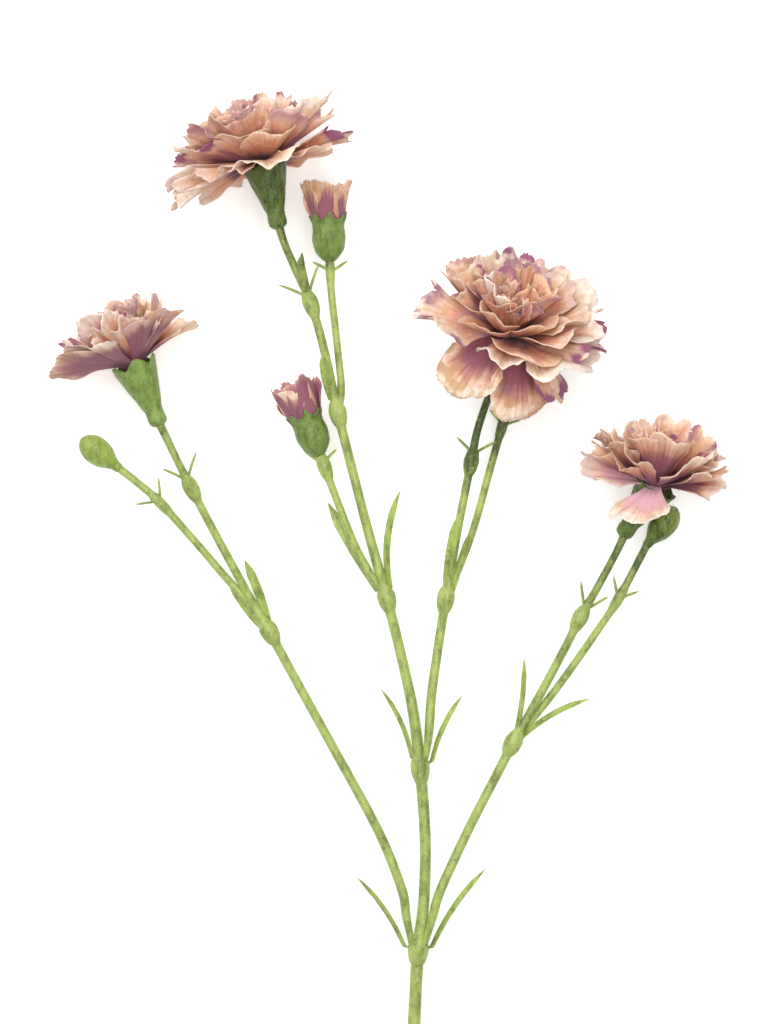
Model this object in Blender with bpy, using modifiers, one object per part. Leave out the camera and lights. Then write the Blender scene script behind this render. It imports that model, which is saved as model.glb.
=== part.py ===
"""Spray carnation, cut and lying on a table.

One green main stem forks into leafy side stems. They carry four open blooms, two opening buds and three
closed buds. Each bloom is a corolla of toothed petals on a plug, and the plug stands in a green calyx cup.

Frame: metres, +Z up from the table, +Y up the spray, +X to its right. The origin is on the table, under the
middle of the spray's box. All sizes below are in millimetres, and all stem points are counted from the lowest
fork, with z as the height over the table.
"""

import math
import random

import bmesh
import bpy
from mathutils import Matrix, Vector

# ---------------------------------------------------------------- driving dimensions

MM = 0.001
SPRAY_MIDDLE = Vector((-8.8, 70.4, 0.0))  # the middle of the spray's box, from the lowest fork
GAP = 0.35  # free space between two pieces that meet
PETAL_THICK = 0.8
LEAF_THICK = 0.8
SIDES = 8  # faces round a stem
RING_STEP = 19.0  # longest plain stretch of stem between two rings
BEND_RADIUS = 2.5  # how sharply a petal bends where it meets the table
FLAT_CUT = 0.2  # how much of a bent petal's underside is planed off, so that it rests flat

# A node, where leaves and side stems grow, swells over this length below and above its middle.
BULGE_BELOW = 4.8
BULGE_ABOVE = 3.6
BULGE_RINGS = (-1.0, -0.4, 0.4, 1.0)

PIN = 1.1  # radius of a stem's end where it stands in a socket
PIN_LENGTH = 3.0

GREEN_STEM = (0.36, 0.46, 0.12)
GREEN_CALYX = (0.17, 0.29, 0.08)
GREEN_BUD = (0.38, 0.50, 0.13)
PETAL_PEACH = (0.72, 0.43, 0.30)

# Each axis: its knots as (x, y, z, radius), and its nodes as {knot number: radius of the swelling}.
AXES = {
    "main": {
        "knots": [
            (-5.2, -122.0, 2.4, 2.4), (-4.2, -104.0, 3.6, 2.3), (-3.2, -78.0, 5.0, 2.2),
            (-1.9, -45.0, 6.8, 2.2), (-0.6, -15.0, 8.4, 1.95), (0.2, -2.0, 9.2, 2.0),
            (1.9, 13.0, 10.0, 1.75), (2.3, 33.0, 11.0, 1.75), (0.7, 55.0, 12.2, 1.8),
            (-1.6, 73.0, 12.8, 1.7), (-5.6, 91.5, 13.4, 1.6), (-9.8, 108.0, 14.0, 1.6),
            (-15.5, 128.7, 15.0, 1.5), (-20.3, 147.2, 16.0, 1.45), (-24.8, 165.2, 17.2, 1.45),
            (-29.3, 185.5, 18.6, 1.35), (-33.2, 198.8, 19.6, 1.3), (-37.6, 208.6, 20.4, 1.25),
            (-41.2, 217.0, 21.0, 1.2), (-43.4, 224.4, 21.4, 1.4),
        ],
        "nodes": {2: 3.2, 5: 3.3, 8: 3.0, 11: 2.9, 14: 2.8, 16: 2.5},
    },
    "left": {
        "knots": [
            (-1.7, -0.6, 9.3, PIN), (-2.6, 3.4, 9.6, PIN), (-3.7, 9.0, 9.9, 1.4), (-5.1, 17.1, 10.2, 1.5),
            (-12.6, 35.6, 11.0, 1.5), (-27.7, 63.5, 12.2, 1.45), (-39.5, 85.0, 13.0, 1.45),
            (-46.3, 97.6, 13.4, 1.5), (-52.0, 107.6, 13.8, 1.35), (-63.5, 128.7, 14.4, 1.3),
            (-70.4, 142.0, 14.8, 1.3), (-75.4, 152.0, 15.2, 1.2), (-81.0, 163.8, 15.4, 1.4),
        ],
        "nodes": {7: 2.9, 10: 2.5},
    },
    "left_twig": {
        "knots": [
            (-46.3, 97.6, 13.4, 1.3), (-50.9, 104.3, 12.8, 1.25), (-60.3, 114.7, 13.0, 1.25),
            (-68.2, 124.0, 13.6, 1.2), (-80.0, 137.2, 14.6, 1.25), (-87.0, 143.4, 15.2, 1.2),
            (-92.6, 147.8, 15.6, 1.25),
        ],
        "nodes": {4: 1.7},
    },
    "right": {
        "knots": [
            (1.9, -0.6, 10.2, PIN), (3.3, 3.6, 11.4, PIN), (4.9, 9.4, 11.7, 1.4), (7.3, 17.1, 11.7, 1.5),
            (15.8, 35.6, 11.9, 1.5), (25.0, 53.5, 12.2, 1.5), (29.8, 62.9, 12.4, 1.5),
            (35.6, 73.2, 12.8, 1.4), (45.4, 91.5, 13.2, 1.35), (50.5, 101.7, 13.4, 1.35),
            (55.6, 110.6, 13.6, 1.25), (61.4, 121.4, 13.8, 1.2), (65.0, 129.2, 14.0, 1.4),
        ],
        "nodes": {6: 2.9, 9: 2.5},
    },
    "right_twig": {
        "knots": [
            (29.8, 62.9, 12.4, 1.3), (34.6, 68.6, 11.4, 1.25), (44.6, 81.2, 11.0, 1.25),
            (58.3, 100.8, 11.4, 1.2), (62.6, 107.6, 11.6, 1.25), (67.6, 117.0, 12.0, 1.2),
            (71.2, 124.0, 12.2, 1.25),
        ],
        "nodes": {4: 1.7},
    },
    "centre": {
        "knots": [
            (1.8, 56.4, 13.2, PIN), (2.8, 60.6, 14.6, PIN), (3.5, 67.0, 14.6, 1.4), (4.3, 78.0, 14.2, 1.5),
            (6.2, 91.5, 13.8, 1.45), (8.7, 107.6, 13.2, 1.5), (10.3, 116.0, 12.6, 1.35),
            (12.4, 128.7, 12.0, 1.3), (16.7, 150.3, 11.4, 1.3), (18.4, 159.0, 11.4, 1.25),
            (21.4, 168.4, 12.8, 1.2), (24.4, 175.0, 15.8, 1.4),
        ],
        "nodes": {5: 2.8, 8: 2.4},
    },
    "centre_twig": {
        "knots": [
            (8.7, 107.6, 13.2, 1.3), (11.8, 114.4, 11.8, 1.25), (17.3, 128.7, 10.2, 1.2),
            (22.5, 147.2, 8.6, 1.2), (26.6, 161.6, 7.2, 1.25), (30.6, 174.8, 6.4, 1.25),
        ],
        "nodes": {4: 1.7},
    },
    "high_twig": {
        "knots": [
            (-24.8, 165.2, 17.2, 1.3), (-23.7, 172.0, 17.0, 1.2), (-24.8, 184.4, 17.6, 1.15),
            (-26.7, 201.5, 18.6, 1.15), (-27.1, 209.2, 19.0, 1.15), (-27.3, 212.6, 19.0, 1.3),
        ],
        "nodes": {4: 1.5},
    },
    "low_twig": {
        "knots": [
            (-9.8, 108.0, 14.0, 1.3), (-13.4, 112.8, 14.8, 1.2), (-19.6, 124.0, 15.4, 1.2),
            (-26.4, 141.4, 16.2, 1.2), (-29.0, 148.6, 16.6, 1.25), (-30.6, 152.8, 16.8, 1.3),
        ],
        "nodes": {4: 2.2},
    },
}

# What stands on an axis's end, and the direction it points, as (lean towards +X, climb) in degrees.
HEADINGS = {
    "main": (-13, -1), "centre": (14, 35), "left": (-23, 2), "right": (33, 20), "high_twig": (-2, 2),
    "low_twig": (-21, 2), "left_twig": (-52, 4), "right_twig": (38, 2), "centre_twig": (17, -4),
}

# Which axes are one leafy stem.
LEAFY_STEMS = {
    "main_stem": ("main", "high_twig", "low_twig"),
    "left_stem": ("left", "left_twig"),
    "right_stem": ("right", "right_twig"),
    "centre_stem": ("centre", "centre_twig"),
}

# Each leaf: its axis, where its blade leaves the node (x, y), its heading there and at its tip in degrees from
# +Y towards +X, its length and width, how far its face turns up from edge-on, and how steeply it climbs.
LEAVES = [
    ("main", (-5.4, -76.6), -24, -44, 33.0, 3.2, 35, 6), ("main", (-1.0, -76.6), 20, 42, 30.0, 3.2, 35, 4),
    ("main", (-4.2, -1.2), -34, -36, 26.0, 2.6, 25, 6), ("main", (4.4, -1.4), 24, 42, 29.5, 2.6, 25, -4),
    ("main", (-1.8, 57.6), -14, -32, 24.0, 2.4, 25, 6), ("main", (4.4, 56.8), 10, 26, 24.0, 2.4, 25, -4),
    ("main", (-12.0, 110.0), -33, -28, 31.5, 3.6, 70, -7),
    ("main", (-8.6, 110.6), -2, 24, 31.0, 3.0, 40, 3), ("main", (-26.6, 169.0), -20, -2, 14.5, 3.6, 70, 16),
    ("main", (-35.4, 201.0), -64, -72, 8.0, 1.7, 30, 8), ("main", (-33.4, 202.4), 14, 24, 8.4, 1.7, 30, 6),
    ("high_twig", (-27.8, 208.8), -60, -66, 5.2, 1.6, 30, 8),
    ("high_twig", (-26.2, 208.8), 58, 58, 5.2, 1.6, 30, 8),
    ("low_twig", (-30.2, 149.6), -60, -52, 6.0, 1.6, 30, 6),
    ("low_twig", (-28.4, 150.4), 40, 50, 4.6, 1.6, 30, 6),
    ("left", (-46.6, 100.6), -15, -26, 20.0, 4.0, 70, 8),
    ("left", (-49.0, 99.0), -42, -30, 17.0, 3.6, 60, -18),
    ("left", (-72.8, 144.6), -62, -68, 6.8, 1.7, 30, 6), ("left", (-71.0, 145.8), 14, 24, 7.4, 1.7, 30, 6),
    ("left_twig", (-81.4, 137.4), -100, -96, 6.0, 1.5, 30, 4),
    ("left_twig", (-80.0, 139.0), -2, -6, 5.8, 1.5, 30, 6),
    ("right", (30.4, 65.6), 12, 2, 23.5, 2.4, 25, 8), ("right", (32.4, 64.4), 46, 72, 24.0, 2.6, 30, 6),
    ("right", (51.4, 105.6), -8, -6, 7.2, 1.7, 30, 8), ("right", (53.4, 104.6), 58, 62, 6.4, 1.7, 30, -10),
    ("right_twig", (62.0, 108.4), -14, -8, 6.0, 1.5, 30, 6),
    ("right_twig", (63.6, 107.6), 66, 72, 5.4, 1.5, 30, 4),
    ("centre", (8.8, 110.6), 4, 14, 23.0, 4.2, 60, 14),
    ("centre", (10.6, 109.6), 16, 20, 20.0, 3.4, 60, -3),
    ("centre", (16.2, 153.4), -46, -44, 5.8, 1.7, 30, 6),
    ("centre", (18.4, 153.0), 60, 64, 6.6, 1.7, 30, 12),
    ("centre_twig", (25.8, 162.2), -40, -40, 5.2, 1.5, 30, 4),
    ("centre_twig", (27.6, 161.6), 70, 76, 5.0, 1.5, 30, 4),
]

# The empty sleeve on the highest node, where a side bud has dropped off.
SLEEVE = {"foot": (-34.2, 200.6, 19.8), "top": (-36.4, 212.0, 23.8), "radius": 1.25}

# Closed buds: the axis that carries each, its length and its radius.
CLOSED_BUDS = {
    "bud_left": ("left_twig", 14.5, 4.3),
    "bud_right": ("right_twig", 14.5, 4.2),
    "bud_centre": ("centre_twig", 13.5, 4.1),
}

# Calyx cups, turned: (radius, height) pairs up the outside.
CUP_OPEN = [(2.4, 0.0), (2.9, 1.5), (2.5, 3.4), (4.2, 9.2), (5.3, 12.6), (6.3, 16.2)]
CUP_BUD = [(1.9, 0.0), (3.5, 1.2), (4.8, 5.0), (4.6, 9.6), (4.6, 11.6)]
CUP_WALL = 0.9
CUP_STEPS = 10
CUP_FLOOR = 6.0  # height of the cup's floor over the calyx's base, where the plug stands
LOBES = 5
CLAW_TOP = -1.0  # height over the rim at which a petal that is rooted inside the cup starts to open
CLAW_OPENING = 12.0  # degrees from the flower's axis at which it leaves its root
# Shares of a petal's length where its rows of points lie, on one that spreads and on one that stands up.
TALL_ROWS = (0.18, 0.3, 0.62, 1.0)
SHORT_ROWS = (0.18, 0.4, 1.0)

# A petal row: azimuth from the flower's upper side towards its right, root over the calyx's rim, length,
# half fan angle, then how far it opens from the flower's axis at its foot, tip and lip, its lean to the
# side, twist, ruffle and cupping. Angles are in degrees.
PETAL_KEYS = ("azimuth", "root", "length", "fan", "foot", "tip", "lip", "lean", "twist", "ruffle", "cup")

# Flowers: the axis that carries each one, the direction its petals face as (lean, climb), its cup, how far
# the calyx's lobes rise, its petals, and the seeded rings that fill it. A ring is (count, first azimuth,
# spread) and a row without its azimuth.
FLOWERS = {
    "bloom_top": {
        "axis": "main", "heading": (-13, -1), "cup": CUP_OPEN, "lobes": 0.2, "seed": 2, "plug_top": 6.0,
        "petals": [
            (3, -5, 33.0, 33, 98, 102, 120, 0, 4, 1.2, 0.02),
            (-38, -5, 31.0, 30, 96, 100, 118, 0, -8, 1.2, 0.02),
            (54, -5, 28.5, 32, 96, 97, 104, 0, 6, 1.1, 0.04),
            (84, -5, 33.0, 26, 88, 84, 92, 0, -6, 1.3, 0.04),
            (-92, -5, 36.0, 22, 92, 92, 98, 0, 6, 1.2, 0.04),
            (-75, -5, 36.5, 16, 102, 110, 104, 0, -10, 1.2, 0.04),
            (-84, -4, 33.5, 28, 76, 68, 64, 0, 8, 1.6, 0.08),
            (10, -4, 28.0, 34, 82, 70, 88, 0, 4, 0.8, 0.12),
            (-22, -4, 28.5, 34, 74, 62, 76, 0, -4, 0.8, 0.12),
            (-34, -3, 26.5, 30, 52, 42, 54, -6, -6, 1.2, 0.12),
            (25, -2, 23.5, 24, 32, 20, 30, 0, 0, 0.7, 0.08),
            (-60, -3, 26.0, 24, 38, 28, 22, 0, 10, 1.5, 0.1),
            (80, -4, 33.5, 14, 58, 56, 52, 0, 0, 0.9, 0.1), (64, -3, 26.5, 16, 38, 34, 28, 0, 0, 1.0, 0.12),
        ],
        "rings": [
            (3, 135, 45, -5, 32.5, 34, 90, 88, 96, 0, 0, 1.4, 0.04),
            (2, 150, 60, -3, 28.0, 30, 50, 44, 50, 0, 0, 1.4, 0.1),
        ],
    },
    "bloom_centre": {
        "axis": "centre", "heading": (14, 35), "cup": CUP_OPEN, "lobes": 0.2, "seed": 12, "plug_top": 6.0,
        "petals": [
            (-34, -2, 30.0, 33, 100, 142, 140, 0, 8, 0.7, 0.03),
            (20, -2, 31.5, 28, 100, 144, 142, 0, -6, 0.7, 0.03),
            (57, -5, 35.0, 32, 86, 80, 90, 0, 6, 1.4, 0.02),
            (-80, -5, 35.0, 33, 84, 74, 84, 0, -8, 1.8, 0.04),
            (-122, -5, 34.5, 32, 70, 56, 44, 0, 6, 1.8, 0.06),
            (92, -5, 35.5, 34, 76, 66, 72, 0, 6, 1.5, 0.04),
            (135, -5, 34.0, 32, 58, 46, 48, 0, 0, 1.6, 0.04),
            (-162, -5, 33.0, 26, 60, 50, 40, 0, 0, 1.4, 0.05),
            (165, -5, 32.0, 28, 58, 46, 44, 0, 8, 1.6, 0.06),
            (10, -4, 31.0, 38, 88, 70, 96, 0, 0, 1.2, 0.0), (12, -2, 27.0, 36, 80, 62, 96, 0, 0, 0.7, 0.1),
            (-38, -3, 26.5, 32, 70, 54, 84, 0, 0, 0.8, 0.12),
            (50, -3, 28.0, 32, 68, 55, 70, 0, 0, 0.9, 0.12),
            (-8, -1, 22.0, 32, 50, 38, 64, 0, 0, 0.7, 0.14),
            (-100, -3, 28.0, 28, 56, 46, 46, 0, 0, 1.4, 0.14),
            (100, -3, 29.0, 30, 56, 46, 56, 0, 0, 1.4, 0.1),
        ],
        "rings": [(3, 60, 120, -1, 20.0, 26, 22, 18, 28, 0, 0, 1.2, 0.12)],
    },
    "bloom_left": {
        "axis": "left", "heading": (-23, 2), "cup": CUP_OPEN, "lobes": 1.6, "seed": 6, "plug_top": 5.0,
        "petals": [
            (-78, -5, 31.0, 34, 72, 76, 84, 0, 12, 1.0, 0.1),
            (58, -5, 29.0, 36, 54, 60, 70, 4, -6, 1.0, 0.1),
            (-16, -4, 28.0, 34, 34, 32, 44, -6, 0, 0.9, 0.12),
            (20, -3, 26.0, 30, 26, 20, 34, 0, 0, 0.9, 0.12),
            (-50, -3, 27.0, 30, 52, 48, 54, 0, 0, 1.2, 0.1), (92, -4, 26.5, 28, 52, 54, 56, 0, 6, 1.2, 0.1),
        ],
        "rings": [
            (4, 128, 36, -5, 29.0, 36, 62, 64, 70, 0, 0, 1.3, 0.1),
            (3, 130, 50, -2, 24.0, 26, 26, 22, 28, 0, 0, 1.3, 0.12),
        ],
    },
    "bloom_right": {
        "axis": "right", "heading": (6, 24), "cup": CUP_OPEN, "lobes": 0.2, "seed": 8, "plug_top": 5.0,
        "petals": [
            (-8, 1, 26.0, 34, 90, 92, 88, 0, 8, 0.6, 0.03),
            (-80, 2, 27.0, 34, 76, 72, 80, 0, -6, 1.0, 0.04),
            (80, -3, 24.0, 30, 86, 85, 92, 0, 0, 1.1, 0.04),
            (25, -1, 25.0, 30, 48, 42, 50, 26, -5, 0.9, 0.06),
            (-12, 1, 25.5, 32, 42, 36, 46, 0, 0, 0.8, 0.1),
            (-46, 1, 26.0, 32, 54, 47, 56, -15, 8, 1.0, 0.1),
            (90, -2, 24.0, 26, 54, 48, 50, 0, 8, 1.0, 0.08),
            (110, -3, 26.0, 34, 78, 76, 80, 0, 0, 1.2, 0.06),
            (150, -2, 28.0, 34, 78, 76, 80, 0, 0, 1.2, 0.06),
            (-165, 1, 28.0, 34, 78, 76, 80, 0, 0, 1.2, 0.06),
            (-124, 2, 29.0, 34, 78, 76, 80, 0, 0, 1.2, 0.06),
        ],
        "rings": [(3, 150, 60, 0, 23.0, 26, 30, 24, 30, 0, 0, 1.2, 0.12)],
    },
    "opening_bud_high": {
        "axis": "high_twig", "heading": (-2, 2), "cup": CUP_BUD, "lobes": 1.2, "seed": 4, "plug_top": 5.0,
        "petals": [], "rings": [(5, 8, 72, -2, 15.5, 44, 34, 12, 30, 0, 0, 0.3, 0.14)],
    },
    "opening_bud_low": {
        "axis": "low_twig", "heading": (-21, 2), "cup": CUP_BUD, "lobes": 1.2, "seed": 5, "plug_top": 5.0,
        "petals": [], "rings": [(5, 28, 72, -2, 15.5, 44, 34, 12, 30, 0, 0, 0.3, 0.14)],
    },
}


# ---------------------------------------------------------------- scene helpers


def clear_scene():
    for obj in list(bpy.data.objects):
        bpy.data.objects.remove(obj)


def make_collection(name, hidden=False):
    made = bpy.data.collections.new(name)
    bpy.context.scene.collection.children.link(made)
    made.hide_render = hidden
    return made


def make_material(name, colour, roughness):
    material = bpy.data.materials.new(name)
    material.use_nodes = True
    shader = material.node_tree.nodes["Principled BSDF"]
    shader.inputs["Base Color"].default_value = (*colour, 1.0)
    shader.inputs["Roughness"].default_value = roughness
    shader.inputs["Metallic"].default_value = 0.0
    return material


def add_object(name, data, collection, material=None):
    obj = bpy.data.objects.new(name, data)
    collection.objects.link(obj)
    if material:
        data.materials.append(material)
    return obj


def evaluated_mesh(obj):
    """The object's mesh with its modifiers applied, and the caps of a curve welded to its sides."""
    bpy.context.view_layer.update()
    graph = bpy.context.evaluated_depsgraph_get()
    mesh = bpy.data.meshes.new_from_object(obj.evaluated_get(graph))
    bm = bmesh.new()
    bm.from_mesh(mesh)
    bmesh.ops.remove_doubles(bm, verts=bm.verts, dist=0.002 * MM)
    bmesh.ops.recalc_face_normals(bm, faces=bm.faces)
    bm.to_mesh(mesh)
    bm.free()
    return mesh


def join_all(obj, collection, operation="UNION", solver="MANIFOLD"):
    """One Boolean of obj with everything in the collection, applied. The collection's objects then go."""
    modifier = obj.modifiers.new("join", "BOOLEAN")
    modifier.operation = operation
    modifier.operand_type = "COLLECTION"
    modifier.collection = collection
    modifier.solver = solver
    bpy.context.view_layer.update()
    graph = bpy.context.evaluated_depsgraph_get()
    mesh = bpy.data.meshes.new_from_object(obj.evaluated_get(graph))
    obj.modifiers.clear()
    obj.data = mesh
    for other in list(collection.objects):
        bpy.data.objects.remove(other)
    keep_outer_shell(obj)


def keep_outer_shell(obj):
    """Fills the pockets that crossing blades have sealed. It stops on a blade that has come off the rest."""
    bm = bmesh.new()
    bm.from_mesh(obj.data)
    left = set(bm.verts)
    shells = []
    while left:
        shell = {left.pop()}
        front = list(shell)
        while front:
            near = {e.other_vert(v) for v in front for e in v.link_edges} - shell
            shell |= near
            front = list(near)
        left -= shell
        shells.append(shell)
    shells.sort(key=len)
    for shell in shells[:-1]:
        if shell_volume(shell) > 0:
            raise ValueError(f"{obj.name}: a piece of {len(shell)} points isn't joined to the rest")
        bmesh.ops.delete(bm, geom=list(shell), context="VERTS")
    bm.to_mesh(obj.data)
    bm.free()


def shell_volume(shell):
    """Six times the volume inside a shell, and under zero for a pocket."""
    faces = {face for vert in shell for face in vert.link_faces}
    volume = 0.0
    for face in faces:
        a, *rest = [v.co for v in face.verts]
        volume += sum(a.dot(b.cross(c)) for b, c in zip(rest, rest[1:]))
    return volume


def shade_smooth(obj, angle=40):
    obj.data.shade_smooth()
    obj.data.set_sharp_from_angle(angle=math.radians(angle))


# ---------------------------------------------------------------- stems


def between(a, b, c, d, t):
    """The Catmull-Rom point from b to c at share t."""
    return 0.5 * (2 * b + (c - a) * t + (2 * a - 5 * b + 4 * c - d) * t**2 + (3 * b - a - 3 * c + d) * t**3)


def axis_points(axis):
    """The centreline's (point, radius) rings of an axis, with more of them round its nodes."""
    knots = [Vector(k) for k in axis["knots"]]
    ends = [knots[0] * 2 - knots[1], *knots, knots[-1] * 2 - knots[-2]]
    rings = []
    for i in range(len(knots) - 1):
        span = (knots[i + 1] - knots[i]).length
        cuts = [n / math.ceil(span / RING_STEP) for n in range(math.ceil(span / RING_STEP))]
        if i in axis["nodes"]:
            cuts = [0.0] + [r * BULGE_ABOVE / span for r in BULGE_RINGS if r > 0] + [c for c in cuts if c > 0]
        if i + 1 in axis["nodes"]:
            cuts += [1 + r * BULGE_BELOW / span for r in BULGE_RINGS if r < 0]
        cuts = sorted(c for c in cuts if 0 <= c < 1)
        kept = [c for n, c in enumerate(cuts) if n == 0 or (c - cuts[n - 1]) * span > 1.2]
        rings += [(i + t, between(*ends[i : i + 4], t)) for t in kept]
    rings.append((len(knots) - 1, knots[-1]))
    return [(Vector(p[:3]), swollen(axis, knots, at, p)) for at, p in rings]


def with_pin(axis_name):
    """An axis's rings, and the thin end that stands in the socket of a calyx or a bud."""
    rings = axis_points(AXES[axis_name])
    shoulder = rings[-1][0]
    heading = direction(*HEADINGS[axis_name])
    return [*rings, (shoulder + heading * 0.05, PIN), (shoulder + heading * (PIN_LENGTH - GAP), PIN)]


def seat_matrix(axis_name):
    """The frame of what stands on an axis's end, with its foot a gap above the stem's shoulder."""
    heading = direction(*HEADINGS[axis_name])
    return flower_matrix(Vector(AXES[axis_name]["knots"][-1][:3]) + heading * GAP, heading)


def swollen(axis, knots, at, point):
    """The radius at a point of an axis, which swells like a bead round each node."""
    radius = point[3]
    for n, bead in axis["nodes"].items():
        offset = (Vector(point[:3]) - Vector(knots[n][:3])).length
        reach = BULGE_ABOVE if at > n else BULGE_BELOW
        if offset < reach:
            radius = max(radius, point[3] + (bead - point[3]) * (1 - (offset / reach) ** 2))
    return radius


def nearest_on(axis, foot):
    """The centreline's point nearest to a foot (x, y)."""
    points = [p for p, _ in axis_points(axis)]
    flat = Vector(foot)
    spots = []
    for a, b in zip(points, points[1:]):
        share = (flat - a.xy).dot((b - a).xy) / (b - a).xy.length_squared
        spots.append(a.lerp(b, max(0.0, min(1.0, share))))
    return min(spots, key=lambda spot: (spot.xy - flat).length)


def make_stem(name, rings, collection):
    """A solid round stem along the rings' points."""
    curve = bpy.data.curves.new(name, "CURVE")
    curve.dimensions = "3D"
    curve.bevel_depth = MM
    curve.bevel_resolution = SIDES // 2 - 2
    curve.use_fill_caps = True
    spline = curve.splines.new("POLY")
    spline.points.add(len(rings) - 1)
    for point, (place, radius) in zip(spline.points, rings):
        point.co = (*((place - SPRAY_MIDDLE) * MM), 1.0)
        point.radius = radius
    tube = add_object(name + "_line", curve, collection)
    mesh = evaluated_mesh(tube)
    bpy.data.objects.remove(tube)
    return add_object(name, mesh, collection)


# ---------------------------------------------------------------- leaves


def arc(start, end, length, s):
    """How far along and aside a curve has gone after s, when it turns from start to end in its length."""
    turn = (end - start) / length
    if abs(turn) < 1e-6:
        return s * math.cos(start), s * math.sin(start)
    here = start + turn * s
    return (math.sin(here) - math.sin(start)) / turn, (math.cos(start) - math.cos(here)) / turn


def make_leaf(name, leaf, collection):
    """A narrow pointed blade, keeled along its middle. A strap joins its foot to the middle of the node."""
    axis, foot, start, end, length, width, face, climb = leaf
    middle = nearest_on(AXES[axis], foot)
    root = Vector((*foot, middle.z))
    turned = math.radians(face)
    columns = 2 if width > 3.4 else 1
    rows = 3 if length < 10 else 5
    step = 1 / rows
    bm = bmesh.new()
    bmesh.ops.create_grid(bm, x_segments=columns, y_segments=rows, size=1.0)
    bmesh.ops.triangulate(bm, faces=bm.faces)
    for vert in bm.verts:
        across, row = vert.co.x, (vert.co.y + 1) / 2
        share = max(0.0, (row - step) / (1 - step))
        ahead, aside = arc(math.radians(start), math.radians(end), length, share * length)
        heading = math.radians(start + (end - start) * share)
        side = Vector((math.cos(heading), -math.sin(heading), 0.0))
        half = 0.5 * width * leaf_outline(share)
        blade = side * math.sin(turned) + Vector((0.0, 0.0, math.cos(turned)))
        keel = Vector((-side.x * math.cos(turned), -side.y * math.cos(turned), math.sin(turned)))
        place = root + Vector((aside, ahead, math.tan(math.radians(climb)) * length * share))
        if row < 0.01:
            place = middle.copy()
        place += blade * half * across - keel * 0.35 * half * (1 - abs(across))
        vert.co = (place - SPRAY_MIDDLE) * MM
    mesh = bpy.data.meshes.new(name)
    bm.to_mesh(mesh)
    bm.free()
    sheet = add_object(name + "_sheet", mesh, collection)
    thicken(sheet, LEAF_THICK)
    solid = add_object(name, evaluated_mesh(sheet), collection)
    bpy.data.objects.remove(sheet)
    return solid


def leaf_outline(share):
    """A leaf's half width along it, as a share of its widest."""
    return max(0.14, 0.62 + 0.5 * share - 0.9 * share**3 if share < 0.75 else 2.45 * (1.0 - share) + 0.14)


def thicken(sheet, thickness):
    modifier = sheet.modifiers.new("thickness", "SOLIDIFY")
    modifier.thickness = thickness * MM
    modifier.offset = 0.0
    modifier.use_even_offset = False


# ---------------------------------------------------------------- turned pieces: calyxes, plugs, closed buds


def direction(lean, climb):
    """A unit vector leaning from +Y towards +X, and climbing from the table."""
    a, c = math.radians(lean), math.radians(climb)
    return Vector((math.sin(a) * math.cos(c), math.cos(a) * math.cos(c), math.sin(c)))


def flower_matrix(base, axis):
    """Takes a flower's own frame to the spray's: its Z along the axis, and its Y away from the table."""
    up = (Vector((0, 0, 1)) - axis * axis.z).normalized()
    right = up.cross(axis)
    turn = Matrix((right, up, axis)).transposed().to_4x4()
    return Matrix.Translation((base - SPRAY_MIDDLE) * MM) @ turn


def corolla_matrix(flower):
    """The frame of a flower's petals, whose origin is the middle of the calyx's rim."""
    rim = seat_matrix(flower["axis"]) @ Vector((0.0, 0.0, flower["cup"][-1][1] * MM))
    return flower_matrix(rim / MM + SPRAY_MIDDLE, direction(*flower["heading"]))


def make_turned(name, profile, steps, matrix, collection, shape=None):
    """A closed solid turned from (radius, height) pairs that run from the axis to the axis, top to bottom."""
    bm = bmesh.new()
    verts = [bm.verts.new((r * MM, 0.0, h * MM)) for r, h in profile]
    edges = [bm.edges.new(pair) for pair in zip(verts, verts[1:])]
    bmesh.ops.spin(
        bm, geom=verts + edges, cent=(0, 0, 0), axis=(0, 0, 1), angle=math.tau, steps=steps, use_merge=True
    )
    bmesh.ops.remove_doubles(bm, verts=bm.verts, dist=0.01 * MM)
    bmesh.ops.triangulate(bm, faces=bm.faces)
    bmesh.ops.recalc_face_normals(bm, faces=bm.faces)
    for vert in bm.verts:
        if shape:
            shape(vert)
    bmesh.ops.transform(bm, matrix=matrix, verts=bm.verts)
    mesh = bpy.data.meshes.new(name)
    bm.to_mesh(mesh)
    bm.free()
    return add_object(name, mesh, collection)


def cup_profile(outside):
    """The calyx cup's whole section: the socket for the stem below, and the hollow for the corolla above."""
    rim_radius, rim_height = outside[-1]
    inner = [(r - CUP_WALL, h) for r, h in outside if h > CUP_FLOOR + 0.5]
    socket = PIN + GAP
    floor = [(0.0, CUP_FLOOR), (inner[0][0] - 0.5, CUP_FLOOR)]
    inside = [*floor, *inner[:-1], (rim_radius - CUP_WALL, rim_height)]
    foot = [(socket, 0.0), (socket, PIN_LENGTH + GAP), (0.0, PIN_LENGTH + GAP)]
    return inside + outside[::-1] + foot


def make_calyx(name, flower, matrix, collection):
    """A green cup whose rim has five pointed lobes that flare a little."""
    outside = flower["cup"]
    rim_height = outside[-1][1]

    def lobed(vert):
        if vert.co.z < (rim_height - 0.3) * MM:
            return
        angle = math.atan2(vert.co.y, vert.co.x)
        peak = abs(math.cos(angle * LOBES / 2)) ** 1.5
        vert.co.z += flower["lobes"] * peak * MM
        flare = 1 + 0.05 * flower["lobes"] * peak
        vert.co.x *= flare
        vert.co.y *= flare

    return make_turned(name, cup_profile(outside), CUP_STEPS, matrix, collection, lobed)


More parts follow.
